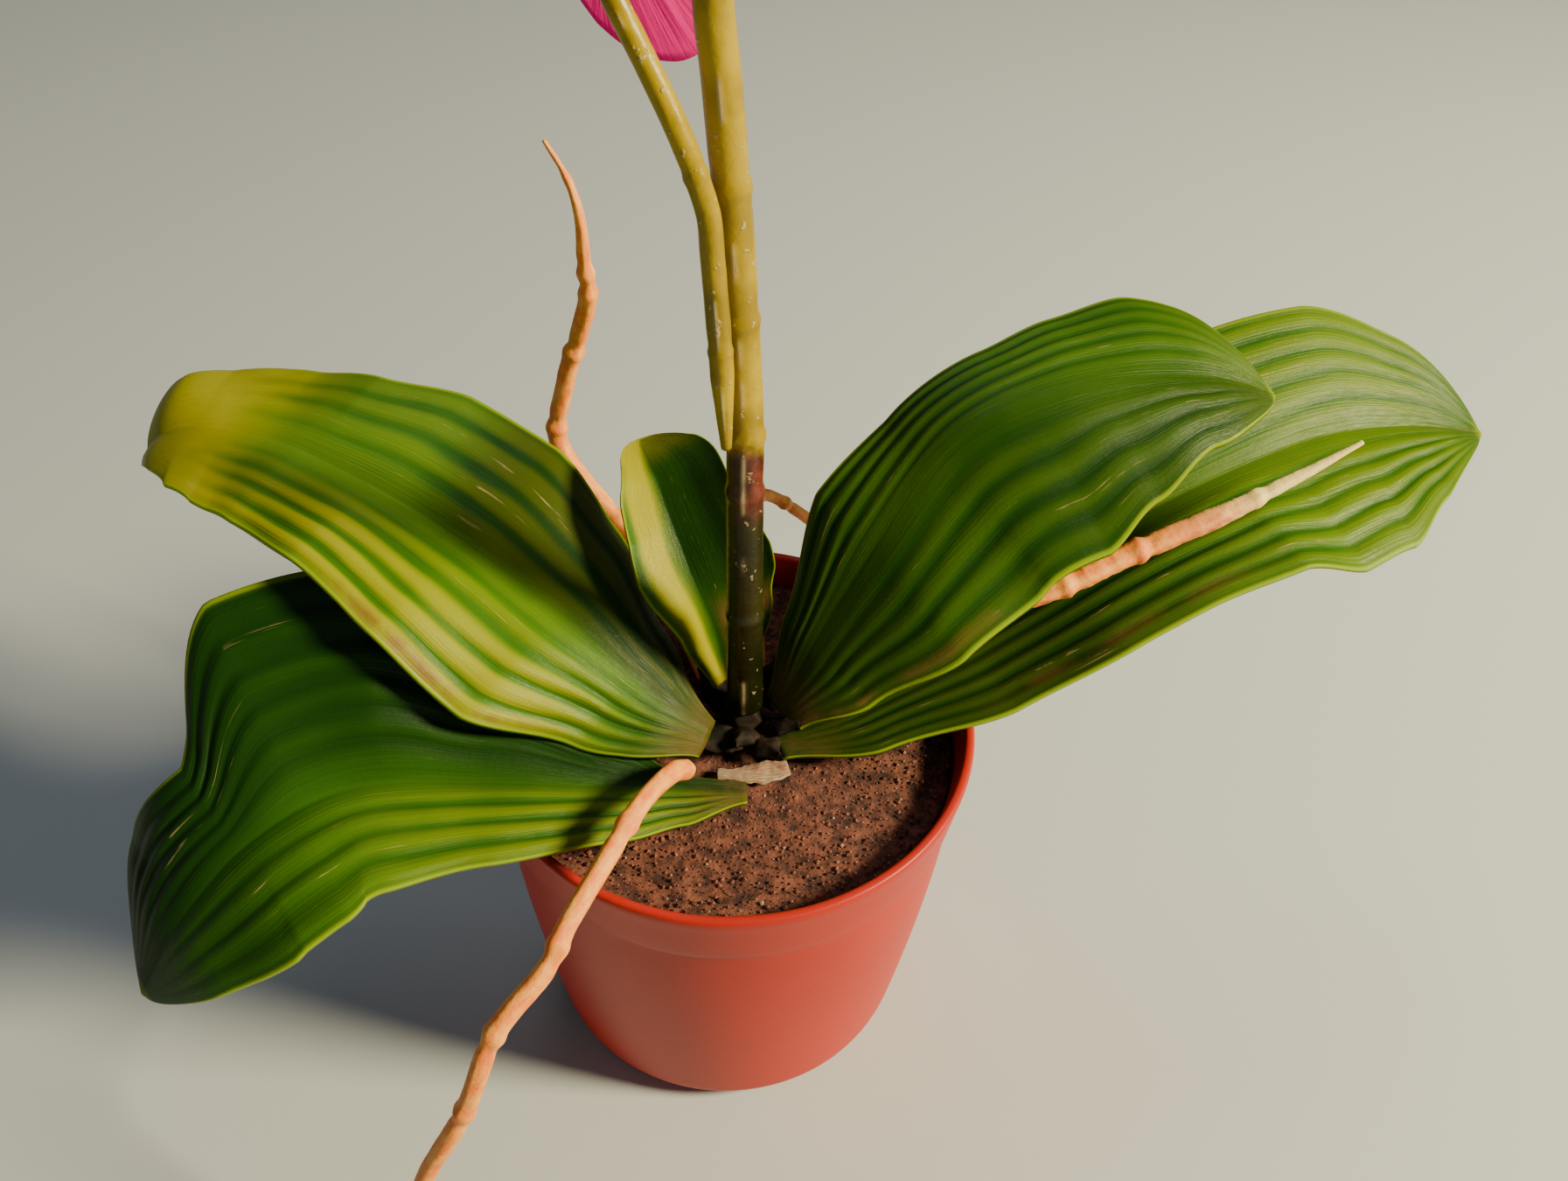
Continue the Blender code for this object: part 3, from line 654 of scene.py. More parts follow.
# A station is a share of a leaf's length, and the width and rise in degrees of its left and right half.
# pleats gives each half's ribs and their depth, pleat_end where they fade out along the leaf, and sway
# how far, where and over what length they swing aside.
LEAVES = {
    "leaf_upper_left": {
        **PLAIN_LEAF,
        "midrib": [
            (-8, -8, 8), (-20, -6, 18), (-43, 4, 35), (-72, 20, 48),
            (-104, 36, 56), (-119, 41, 57.5), (-130, 42.5, 58), (-138, 42.5, 56), (-143, 42.5, 51),
        ],
        "stations": [
            (0, 7, -20, 3, 20), (0.15, 21, -30, 16, 5), (0.30, 33, -14, 30, 2),
            (0.45, 34, 3, 35, 12), (0.60, 31, 8, 35, 12), (0.72, 26.5, -1, 28, 14),
            (0.80, 24.8, -4, 26, 6), (0.90, 22.5, -2, 25, 2), (1, 12, 0, 27, 12),
        ],
        "arch": 14,
        "tip_power": 0.25,
        "row_lean": 0.0,
        "pleats": (5, 1.10, 4, 0.30),
        "pleat_end": (0.60, 0.90),
    },
    "leaf_lower_left": {
        **PLAIN_LEAF,
        "midrib": [
            (1, -22, 2.3), (-13, -22, 4), (-31, -24, 7), (-58, -27, 12),
            (-86, -32, 16), (-104, -43, 13), (-118, -55, 2), (-128, -64, -13),
        ],
        "stations": [
            (0, 2.5, 0, 3, 10), (0.10, 10, -3, 3, 10), (0.20, 15, 0, 13, 26),
            (0.40, 22, 0, 34, 34), (0.54, 28, 0, 49, 44), (0.65, 31, -2, 50, 37),
            (0.75, 30, -5, 23, 26), (0.88, 22, -8, 27, 8), (1, 16, -8, 26, 0),
        ],
        "arch": 10,
        "tip_power": 0.6,
        "pleats": (4, 0.85, 6, 0.85),
        "pleat_end": (0.80, 1.0),
    },
    "leaf_near_right": {
        **PLAIN_LEAF,
        "midrib": [
            (9, -2, 9), (17, 5, 25), (31, 16, 48), (45, 28, 65),
            (60, 34, 73), (83, 40, 77), (109, 44, 76), (127, 46, 70),
        ],
        "stations": [
            (0, 5, 10, 7, -10), (0.12, 11, 18, 20, -29), (0.28, 20, 22, 33, -29),
            (0.43, 18, 5, 40, -36), (0.60, 21, 4, 40, -38), (0.71, 24, 8, 31, -33),
            (0.83, 26, 17, 20, -24), (1, 24, 30, 14, -15),
        ],
        "arch": 12,
        "tip_power": 0.7,
        "row_lean": 0.6,
        "pleats": (5, 0.75, 5, 0.75),
        "smooth_middle": 0.38,
        "pleat_end": (0.75, 1.0),
        "sway": (0.20, 0.36, 0.40),
    },
    "leaf_far_right": {
        **PLAIN_LEAF,
        "midrib": [
            (7, -6, 4), (21, 0, 8), (45, 12, 17), (72, 25, 28), (97, 36, 38),
            (124, 47, 46), (150, 57, 50), (175, 63, 49), (197, 66, 45),
        ],
        "stations": [
            (0, 2, 10, 7, -5), (0.10, 9, 10, 18, -4), (0.25, 18, 16, 27.5, -6),
            (0.39, 26, 22, 32, 0), (0.50, 30, 25, 33, 0), (0.62, 34, 28, 35, -2),
            (0.70, 37, 31, 38.5, -14), (0.80, 36, 34, 36, -16), (0.88, 32, 36, 28, -14),
            (1, 32, 38, 20, -8),
        ],
        "arch": 8,
        "tip_power": 0.8,
        "pleats": (5, 0.45, 6, 0.85),
        "smooth_middle": 0.28,
        "pleat_end": (0.86, 1.0),
        "sway": (0.14, 0.7, 0.15),
    },
    "leaf_center": {
        **PLAIN_LEAF,
        "midrib": [
            (-4, 9, 9), (-7, 12, 21), (-12, 15, 35), (-17, 22, 46),
            (-21, 30, 53.5), (-24, 35.5, 57), (-25.5, 40, 58.5),
        ],
        "stations": [
            (0, 5, 10, 5, 30), (0.25, 10.5, 0, 16, 42), (0.50, 14, 6, 22, 50),
            (0.75, 11, 8, 18, 44), (0.90, 8, 8, 16, 36), (1, 8, 8, 13, 30),
        ],
        "arch": -12,
        "tip_power": 0.5,
        "pleats": (1, 0.0, 2, 0.15),
        "pleat_end": (0.7, 1.0),
    },
}


def leaf_light_and_dryness(name, t, v):
    """How much painted light makes a leaf yellowish where it faces the key light, and how dry and brown
    it is, at a place along and across it.
    """
    lit_yellow = 0.25
    brown = 0.35 * smooth(0.10, 0.0, t)
    if name == "leaf_upper_left":
        lit_yellow = 0.12 + 1.3 * smooth(0.72, 0.92, t)
        lit_yellow += 0.60 * smooth(-0.15, -0.6, v) * smooth(0.1, 0.25, t)
        brown += 0.8 * hump(v, -0.93, 0.05) * smooth(0.15, 0.3, t) * smooth(0.62, 0.45, t)
    elif name == "leaf_far_right":
        lit_yellow = 0.06 + 0.12 * smooth(0.35, 0.8, t)
        brown += 0.35 * hump(v, 0.86, 0.04) * smooth(0.2, 0.3, t) * smooth(0.62, 0.5, t)
        brown += 0.5 * hump(v, 0.0, 0.06) * smooth(0.86, 0.95, t)
    elif name == "leaf_near_right":
        lit_yellow = 0.05 + 0.12 * smooth(0.8, 1.0, t)
        brown += 0.5 * hump(v, 0.9, 0.05) * smooth(0.5, 0.2, t)
    elif name == "leaf_center":
        lit_yellow = 1.3 * smooth(0.0, -0.35, v) + 0.5 * smooth(0.85, 1.0, t)
        brown += smooth(0.0, 0.3, v) * smooth(0.42, 0.12, t)
    else:
        lit_yellow = 0.28 * smooth(0.7, 0.3, t) * smooth(0.1, -0.3, v)
    return min(lit_yellow, 1.6), min(brown, 1.0)


def painted_leaf_shade(name, t, v):
    """Painted shade: how much darker a leaf is painted where it lies in shade, also towards its base at
    the crown.
    """
    # Painted shade towards the base, where the leaves meet the crown.
    base = 1.6 * smooth(0.16, 0.0, t)
    # The near right leaf is painted darker all over, as it faces away from the key light.
    if name == "leaf_near_right":
        return base + 0.9 - 0.5 * smooth(0.35, 0.75, t) * smooth(0.25, -0.35, v)
    # The lower left leaf gets a painted shadow of the upper left leaf, most of it on its right half.
    if name == "leaf_lower_left":
        return base + 0.25 + 1.15 * smooth(-0.2, 0.3, v) + 0.3 * smooth(0.6, 0.85, t)
    if name == "leaf_upper_left":
        # A painted shadow along the upper left leaf's inner half, towards the crown.
        inner = 1.5 * smooth(-0.12, 0.15, v) * smooth(0.60, 0.46, t)
        # pale is painted light: a lighter band down the middle of the upper left leaf.
        pale = 0.6 * hump(v, -0.05, 0.3) * smooth(0.4, 0.65, t)
        return base + inner + 0.3 * smooth(0.2, 0.7, v) - pale
    # The centre leaf's right half is painted in shade.
    if name == "leaf_center":
        return base + 1.2 * smooth(-0.3, 0.1, v)
    # The far right leaf is painted darker towards its base.
    return base + 0.25 + 1.25 * smooth(0.60, 0.30, t)


def drifted(leaf, t, v):
    """The place across a leaf that its ribs follow: they swing aside where the leaf's sway is."""
    amount, place, width = leaf["sway"]
    return v + amount * (smooth(place - width, place + width, t) - 0.5) * (1 - v * v)


def pleat(leaf, t, v, width):
    """A leaf's ribs: how far the surface is raised in millimetres, and how near a rib's top it is."""
    left_count, left_depth, right_count, right_depth = leaf["pleats"]
    count, depth = (left_count, left_depth) if v < 0 else (right_count, right_depth)
    place = abs(drifted(leaf, t, v)) + 0.05 * wave(t * 1.6, v * 2.6, count)
    place += 0.02 * wave(t * 6.0, v * 5.0, count)
    crest = 0.5 - 0.5 * cos(2 * pi * count * place)
    top = 0.45 * crest + 0.55 * crest**0.5
    low, high = leaf["pleat_end"]
    fade = smooth(0.0, 0.12, t) * (1 - smooth(low, high, t))
    fade *= 1 - smooth(0.90, 1.0, abs(v))
    fade *= smooth(0.04, leaf["smooth_middle"], abs(v)) * (0.8 + 0.5 * wave(t * 3.0, v * 4.0, 7.0))
    depth = min(depth, 0.24 * width / max(count, 1))
    return depth * fade * (top - 0.65), top * fade + 0.60 * (1 - fade)


def build_leaf(name, leaf, finish):
    """A closed blade with the frame's outline and curves, ribbed on both faces."""
    route = crown_route(leaf["midrib"])
    chord = (route[-1] - route[0]).normalized()
    arch = radians(leaf["arch"])
    upper, lower, blade, lit_and_dry, depth = [], [], [], [], []
    for i in range(LEAF_ROWS + 1):
        t = 1 - (1 - i / LEAF_ROWS) ** 1.25
        centre, way = spline(route, t)
        way = way.lerp(chord, leaf["row_lean"]).normalized()
        side = way.cross(UP).normalized()
        up = side.cross(way)
        left, left_rise, right, right_rise = blend_stations(leaf["stations"], t)
        ending = 1.0
        if t > TIP_START:
            ending = (1 - ((t - TIP_START) / (1 - TIP_START)) ** 2) ** leaf["tip_power"]
        for j in range(LEAF_COLUMNS + 1):
            v = 2 * j / LEAF_COLUMNS - 1
            width, rise = (left, left_rise) if v < 0 else (right, right_rise)
            width = max(width * ending, 0.8)
            low = radians(rise) + arch
            slope = low - 2 * arch * abs(v)
            out = width * (sin(low) - sin(slope)) / (2 * arch)
            height = width * (cos(slope) - cos(low)) / (2 * arch)
            outward = side if v > 0 else -side
            raised, rib = pleat(leaf, t, v, width)
            normal = up * cos(slope) - outward * sin(slope)
            middle = centre + (outward * out + up * height + normal * raised) * MM
            half = LEAF_THICKNESS / 2 * (1 - 0.35 * v * v) * MM
            upper.append(middle + up * half)
            lower.append(middle - up * half)
            # Painted light where the leaf faces the key light, and dry brown.
            lit_yellow, brown = leaf_light_and_dryness(name, t, v)
            # Painted light: a bright rim along each margin and at the tip, as if lit from behind.
            rim = max(smooth(0.965, 0.995, abs(v)), smooth(0.985, 1.0, t))
            blade.append((t, v, rib))
            lit_and_dry.append((lit_yellow, brown, rim))
            # The depth mark holds the painted shade at this place.
            depth.append((painted_leaf_shade(name, t, v), 0.0, 0.0))
    faces = sheet_faces(LEAF_ROWS, LEAF_COLUMNS)
    marks = {"blade": blade * 2, "lit_and_dry": lit_and_dry * 2, "depth": depth * 2}
    add_piece("fine_" + name, upper + lower, faces, finish, [name], marks)


def build_leaves():
    skin = leaf_material()
    for name, leaf in LEAVES.items():
        build_leaf(name, leaf, skin)


# Crown


def shell(route, half_width, arch, crumple, thickness, rows, columns):
    """A thin closed strip along a route, arched across and crumpled. Its sizes are in millimetres."""
    upper, lower, blade = [], [], []
    for i in range(rows + 1):
        t = i / rows
        centre, way = spline(route, t)
        side = way.cross(UP).normalized()
        up = side.cross(way).normalized()
        width = half_width(t)
        for j in range(columns + 1):
            v = 2 * j / columns - 1
            fold = wave(t * 5.0, v * 1.5, arch) + 0.6 * wave(t * 14.0, v * 4.0, arch + 4)
            rise = arch * (1 - v * v) + crumple * fold
            ragged = 1 + 0.5 * crumple * wave(t * 9.0, v * 2.0, 12.0)
            middle = centre + (side * v * width * ragged + up * rise) * MM
            upper.append(middle + up * (thickness / 2 * MM))
            lower.append(middle - up * (thickness / 2 * MM))
            blade.append((t, v, 0.0))
    return upper + lower, sheet_faces(rows, columns), {"blade": blade * 2}


SHEATH_ROUTE = [(11, -13.5, 1.9), (7, -14.6, 1.7), (1, -15.5, 1.6), (-6, -15.5, 1.5)]


def build_sheath():
    """The dry leaf base: a thin crumpled shell over the soil."""

    def half_width(t):
        return 1.6 + 1.6 * sin(pi * min(t * 1.15 + 0.12, 1.0))

    vertices, faces, marks = shell(crown_route(SHEATH_ROUTE), half_width, 0.55, 0.35, 0.4, 44, 20)
    add_piece("dry_base_sheath", vertices, faces, paper_material(), ["base_sheath"], marks)


# The bracts are painted shade: near-black shells set in the gaps between the leaf bases.
# Each bract's route, half width and arch in millimetres.
SHADE_BRACTS = [
    ([(-1, -4, 3), (-7, -8, 5), (-13, -11, 6.5)], 5.0, 2.0),
    ([(4, -5, 3), (6, -10, 5), (9, -14, 5.5)], 4.5, 1.8),
    ([(0, -5, 4), (0, -9, 7), (-2, -12.5, 8)], 4.0, 2.0),
    ([(6, -3, 4), (10, -6, 8), (14, -8, 10)], 4.0, 1.6),
    ([(-3, 5, 4), (-8, 8, 8), (-11, 9, 13)], 5.0, 2.0),
    ([(4, 5, 4), (7, 9, 8), (9, 12, 14)], 5.0, 2.0),
]


def build_crown():
    """The crown: a short ribbed core with bracts around it in the gaps between the leaf bases, both
    near-black painted shade.
    """
    rings, sides = 30, 60
    radius = (CROWN_HIGH.x - CROWN_LOW.x) / 2
    height = CROWN_HIGH.z - CROWN_LOW.z
    vertices = [Vector((CROWN_FOOT.x, CROWN_FOOT.y, CROWN_LOW.z))]
    for ring in range(rings):
        s = ring / (rings - 1)
        for angle in around(sides):
            folds = 0.10 * abs(sin(2.5 * angle + 2.0 * s))
            folds += 0.06 * wave(cos(angle) * 2, sin(angle) * 2, s * 4)
            r = radius * (0.94 - 0.30 * s**3 - folds)
            x, y = CROWN_FOOT.x + r * cos(angle), CROWN_FOOT.y + r * sin(angle)
            vertices.append(Vector((x, y, CROWN_LOW.z + height * s * 0.98)))
    vertices.append(Vector((CROWN_FOOT.x, CROWN_FOOT.y, CROWN_HIGH.z)))
    dark = crown_shade_material()
    add_piece("crown_core", vertices, turned_faces(rings, sides), dark, ["crown"])
    for k, (route, half, arch) in enumerate(SHADE_BRACTS):

        def half_width(t):
            return half * (0.55 + 0.45 * sin(pi * min(t + 0.25, 1.0))) * (1 - 0.75 * smooth(0.6, 1.0, t))

        vertices, faces, marks = shell(crown_route(route), half_width, arch, 0.3, 0.6, 24, 14)
        add_piece("crown_shade_bract_%d" % (k + 1), vertices, faces, dark)


# Aerial roots

ROOT_RADIUS = 3.6 * MM
PLAIN_ROOT = {"rough": 0.05, "lit_cream": (1.2, 1.3), "red": (2.0, 0.1)}

# The joints, the painted highlight and the red are shares of a root's length: where its joints are,
# where a painted highlight turns its tip pale, and the middle and width of its russet stretch. A plain
# root has neither of the last two.
ROOTS = {
    "aerial_root_front": {
        **PLAIN_ROOT,
        "route": [
            (-13, -20, 9), (-16, -25, 14), (-22, -36, 17.5), (-29, -50, 16), (-36, -63, 12),
            (-40, -70, 7), (-50, -80, -1), (-57, -87, -19), (-69, -91, -45), (-76, -94, -68),
            (-81, -96, -86),
        ],
        "size": 0.68,
        "joints": (0.16, 0.33, 0.455, 0.58, 0.80),
    },
    "aerial_root_back_left": {
        **PLAIN_ROOT,
        "route": [
            (-9, 14, 4), (-17, 30, 11), (-31, 50, 21), (-48, 62, 40), (-45, 62, 60),
            (-40, 60, 76), (-37, 56, 88), (-37, 54, 98), (-37, 52, 110), (-39, 54, 117),
            (-44, 58, 124),
        ],
        "size": 0.75,
        "joints": (0.30, 0.49, 0.635, 0.763, 0.80, 0.945),
    },
    "aerial_root_back_right": {
        **PLAIN_ROOT,
        "route": [
            (4, 13, 5), (3, 28, 19), (2, 45, 27), (5, 60, 26), (15.7, 66, 15), (25, 71, 1),
            (31, 74, -13),
        ],
        "size": 0.55,
        "joints": (0.30, 0.62),
    },
    "aerial_root_right": {
        "route": [
            (13, 4, 12), (27, 7, 20), (47, 8, 29), (72, 10, 39), (92, 16, 46), (113, 22, 53),
            (129, 27, 59.5), (145, 32, 67),
        ],
        "size": 0.88,
        "joints": (0.47, 0.60, 0.81),
        "rough": 0.11,
        "lit_cream": (0.62, 0.84),
        "red": (0.72, 0.07),
    },
}


def build_root(name, root):
    radius = ROOT_RADIUS * root["size"]

    def radius_at(share, angle):
        r = radius * (1 - 0.15 * share)
        if share > 0.72:
            r *= 0.2 + 0.8 * (1 - share) / 0.28
        bumps = sum(hump(share, joint, 0.010) for joint in root["joints"])
        dips = sum(hump(share, joint + 0.018, 0.010) for joint in root["joints"])
        facet = 0.04 * cos(4 * angle + share * 3)
        rough = 0.6 * root["rough"] * wave(share * 60, cos(angle) * 1.6, sin(angle) * 1.6)
        ragged = 0.6 * root["rough"] * max(wave(share * 170, cos(angle) * 3, 7.0), 0.0)
        uneven = 0.05 * wave(share * 14, root["size"])
        return r * (0.95 + 0.19 * bumps - 0.12 * dips + facet + rough + ragged + uneven)

    def bend(share):
        sway = 0.06 * radius * smooth(0.0, 0.06, share) * smooth(1.0, 0.94, share)
        return sway * wave(share * 11, 2.0), sway * wave(share * 11, 6.0)

    vertices, faces, run = tube(crown_route(root["route"]), radius_at, 300, 28, bend)
    low, high = root["lit_cream"]
    centre, width = root["red"]
    tone = []
    # The first value is painted light: the right root's tip turns pale where the key light falls on it.
    for share, turn, _ in run:
        red = 0.85 * hump(share, centre, width) * (0.5 + 0.5 * sin(2 * pi * turn))
        tone.append((0.9 * smooth(low, high, share), red, 0.0))
    finish = root_material(name + "_skin")
    add_piece("fine_" + name, vertices, faces, finish, [name], {"run": run, "root": tone})


# Stems

MAIN_RADIUS = 4.4 * MM
SIDE_RADIUS = 2.4 * MM

MAIN_SPIKE = [
    (0.5, 0, 10.0), (0, 0, 43), (-0.5, 0, 77), (-0.7, 0, 94), (-2.2, 0, 120), (-3.2, 0, 135),
    (-5.4, 0, 160), (-6.8, 0, 173.5), (-7.5, 2, 203), (-5, 8, 238), (0, 20, 273), (8, 38, 305),
    (19, 60, 331), (33, 86, 348), (49, 113, 355), (63, 138, 352),
]
SIDE_SPIKE = [
    (-4.3, -5.6, 91), (-4.9, -6.1, 103), (-5.6, -6.2, 115), (-6.9, -6.0, 132), (-7.8, -5.7, 141),
    (-12.9, -4.4, 155), (-22.5, 0, 173.5), (-37, 7, 200), (-53, 18, 228), (-71, 34, 253),
    (-89, 54, 272), (-106, 78, 283), (-121, 104, 286),
]


def main_radius(share):
    return MAIN_RADIUS * (1 - 0.64 * share)


def side_radius(share):
    grow = min(share / 0.06, 1.0)
    return SIDE_RADIUS * (0.45 + 0.55 * grow) * (1 - 0.45 * share)


MAIN_RINGS = (0.070, 0.152, 0.185, 0.245, 0.305, 0.43, 0.53, 0.62, 0.71, 0.81, 0.89)
SIDE_RINGS = (0.08, 0.20, 0.33, 0.46, 0.60, 0.74, 0.86)
JOINT_SHARE = 0.185  # the main stem's joint, as a share of its length
ABOVE_JOINT = 150.0  # a height in millimetres at which a stem is plain olive


# Each stem's node, route, radius, rings, steps, roughness, seed and whether it has the brown joint.
STEMS = {
    "stem_main": ("flower_spike_main", MAIN_SPIKE, main_radius, MAIN_RINGS, 620, 0.012, 4.4, True),
    "stem_side": ("flower_spike_side", SIDE_SPIKE, side_radius, SIDE_RINGS, 460, 0.03, 2.4, False),
}


def build_stem(name, cad, route, plain_radius, rings, steps, roughness, seed, jointed, finish):
    """A stem with a ring at each node and two rough mould seams down its sides."""
    path = crown_route(route)

    def seam(share, angle):
        """How near a place is to a mould seam, broken into short stretches."""
        near = hump(cos(angle), 0.0, 0.10)
        return near * smooth(0.05, 0.45, wave(share * 55, sin(angle) * 2, seed))

    def radius_at(share, angle):
        r = plain_radius(share)
        ring = sum(hump(share, place, 0.0030) for place in rings)
        below = sum(hump(share, place + 0.0065, 0.0045) for place in rings)
        rough = roughness * wave(share * 80, cos(angle) * 1.5, sin(angle) * 1.5)
        if jointed:
            torn = wave(share * 300, cos(angle) * 3, sin(angle) * 3)
            rough += 0.10 * hump(share, JOINT_SHARE, 0.008) * torn
        return r * (0.985 + 0.09 * ring - 0.03 * below + rough) + 0.30 * MM * seam(share, angle)

    vertices, faces, run = tube(path, radius_at, steps, 36)
    marks = []
    for share, turn, _ in run:
        height = (spline(path, share)[0] - CROWN_FOOT).z / MM if jointed else ABOVE_JOINT
        marks.append((height, 0.75 * seam(share, turn * 2 * pi), 0.0))
    add_piece(name, vertices, faces, finish, [cad], {"stem": marks})


def build_stems():
    skin = stem_material()
    for name, stem in STEMS.items():
        build_stem(name, *stem, skin)


# Flowers

PETAL_REACH = 0.037
SEPAL_REACH = 0.038
LIP_REACH = 0.014
PETAL_THICKNESS = 0.0009
SHEET_SPACING = 0.0022
FLOWER_CUP = 0.006
PEDICEL_RADIUS = 0.0013
BUD_LENGTH = 0.022
BUD_STALK = 0.012
NOTCH_RADIUS = 0.0016  # the least radius of a flower's outline, between its lobes
MAGENTA = (0.90, 0.0, 0.27)
DEEP_MAGENTA = (0.66, 0.0, 0.19)
PINK = (0.90, 0.20, 0.40)
CRIMSON = (0.52, 0.004, 0.05)
DEEP_CRIMSON = (0.34, 0.002, 0.03)
GOLD = (0.80, 0.45, 0.05)

# A flower's centre, the way it faces, its roll in degrees, its spike and where its stalk leaves it.
FLOWERS = [
    ("flower_1", (-26.8, 24, 184), (-0.10, 0.98, 0.10), 20, "side", 0.38),
    ("flower_2", (33, 18, 222), (0.22, 0.95, 0.15), -6, "main", 0.48),
    ("flower_3", (-33, 34, 270), (-0.18, 0.96, 0.12), 5, "main", 0.57),
    ("flower_4", (48, 42, 294), (0.30, 0.92, 0.10), -4, "main", 0.66),
    ("flower_5", (-18, 68, 330), (-0.10, 0.98, 0.05), 6, "main", 0.76),
    ("flower_6", (-88, 60, 231), (-0.45, 0.88, 0.12), 8, "side", 0.53),
]
# A bud's spike, where it leaves the spike, the way it points and its size.
BUDS = [
    ("bud_1", "main", 0.86, (0.85, 0.30, -0.15), 1.0),
    ("bud_2", "main", 0.92, (-0.55, 0.75, 0.10), 0.85),
    ("bud_3", "main", 1.0, (0.45, 0.80, -0.40), 0.7),
    ("bud_4", "side", 0.80, (-0.55, 0.55, -0.45), 0.85),
    ("bud_5", "side", 0.90, (0.30, 0.85, 0.10), 0.75),
    ("bud_6", "side", 1.0, (-0.35, 0.85, -0.35), 0.65),
]
# Each lobe of an outline: its direction in degrees, its length and its width.
SEPALS = [(90, SEPAL_REACH, 0.027), (222, SEPAL_REACH, 0.026), (318, SEPAL_REACH, 0.026)]
PETALS = [(12, PETAL_REACH, 0.046), (168, PETAL_REACH, 0.046)]
LIP = [(270, LIP_REACH, 0.011), (35, LIP_REACH * 0.7, 0.008), (145, LIP_REACH * 0.7, 0.008)]
# Each sheet of a flower from the back: its name, node, finish, outline, slices, rings, ruffle and knob.
SHEETS = [
    ("sepal", "sepals", "petal", SEPALS, 216, 16, 0.0007, 0.0),
    ("petal", "petals", "petal", PETALS, 216, 16, 0.0008, 0.0),
    ("lip", "lip", "lip", LIP, 120, 12, 0.0006, 0.005),
]


def lobes(angle, shapes):
    """The outline's radius at this angle, and the direction and place of the lobe that it is on."""
    best = (NOTCH_RADIUS, pi / 2, 0.0)
    for direction, reach, width in shapes:
        turn = angle - radians(direction)
        if cos(turn) > 0:
            a, b = reach / 2, width / 2
            low = (b * cos(turn)) ** 2 + (a * sin(turn)) ** 2
            radius = 2 * a * b * b * cos(turn) / low
            if radius > best[0]:
                best = (radius, turn, direction)
    return best


def cup(distance):
    return FLOWER_CUP * (distance / PETAL_REACH) ** 2


def facing(centre, direction, roll):
    """A flower's own frame: +Z out of its face, +Y to its top sepal, turned by roll degrees."""
    ahead = Vector(direction).normalized()
    right = UP.cross(ahead).normalized()
    top = ahead.cross(right)
    own = Matrix((right, top, ahead)).transposed().to_4x4()
    return Matrix.Translation(centre) @ own @ Matrix.Rotation(radians(roll), 4, "Z")


def petal_sheet(name, cad, slot, shapes, slices, rings, ruffle, knob, forward, placed, finish):
    """A thin closed sheet around a flower's centre, cupped, ruffled at its edge and grooved."""
    vertices, marks = [], []
    seed = len(name) + ord(name[7]) * 1.7
    front = [(1, ring) for ring in range(rings + 1)]
    back = [(-1, ring) for ring in range(rings, -1, -1)]
    for skin, ring in front + back:
        s = ring / rings
        for angle in around(slices if ring else 1):
            radius, turn, direction = lobes(angle, shapes)
            notch = 1 - 0.02 * abs(wave(angle * 6, seed))
            distance = radius * s * notch
            half = PETAL_THICKNESS / 2 * skin * (1 - 0.5 * s**4)
            groove = hump(turn * distance, 0.0, 0.0007) * smooth(0.05, 0.3, s) * smooth(1.0, 0.8, s)
            edge = ruffle * s * s * wave(angle * 2.4, seed, direction)
            lift = max(skin, 0) * knob * exp(-((distance / 0.0034) ** 2))
            height = forward + half + cup(distance) + edge - 0.0003 * groove + lift
            flat = Vector((cos(angle), sin(angle), 0.0)) * distance
            vertices.append(placed @ (flat + UP * height))
            marks.append((s, turn if ring else 0.0, 0.0))
    faces = [face[::-1] for face in turned_faces(2 * rings, slices)]
    add_piece(name, vertices, faces, finish, [cad], {"petal": marks})


def spikes():
    return {
        "main": (crown_route(MAIN_SPIKE), main_radius),
        "side": (crown_route(SIDE_SPIKE), side_radius),
    }


def stalk_start(spike, share, toward):
    """The point just off a stem's skin, on the side that faces toward."""
    route, radius_at = spikes()[spike]
    point, way = spline(route, share)
    if share == 1.0:
        return point + way * (2 * GAP + PEDICEL_RADIUS), way
    out = toward - point
    out = (out - way * out.dot(way)).normalized()
    return point + out * (radius_at(share) + PEDICEL_RADIUS + GAP), out


def build_flower(name, centre, direction, roll, spike, share, finishes):
    placed = facing(crown_route([centre])[0], direction, roll)
    for layer, (sheet, cad, slot, *shape) in enumerate(SHEETS):
        full_name = "%s_%s_sheet" % (name, sheet)
        forward = SHEET_SPACING * layer
        petal_sheet(full_name, "%s_%s" % (name, cad), slot, *shape, forward, placed, finishes[slot])
    back = placed @ (UP * (-PETAL_THICKNESS / 2 - 2 * GAP))
    start, out = stalk_start(spike, share, back)
    ahead = (placed.to_3x3() @ UP).normalized()
    length = (back - start).length
    knee = back - ahead * min(0.012, length * 0.4)
    route = [start, start + out * length * 0.3 + UP * 0.004, knee, back]

    def radius_at(share_along, angle):
        foot = 0.35 * hump(share_along, 0.0, 0.05)
        return PEDICEL_RADIUS * (0.94 + foot + 0.04 * wave(share_along * 12, angle))

    vertices, faces, run = tube(route, radius_at, 70, 16)
    cad = name + "_stalk"
    add_piece(cad + "_rod", vertices, faces, finishes["stalk"], [cad], {"run": run})


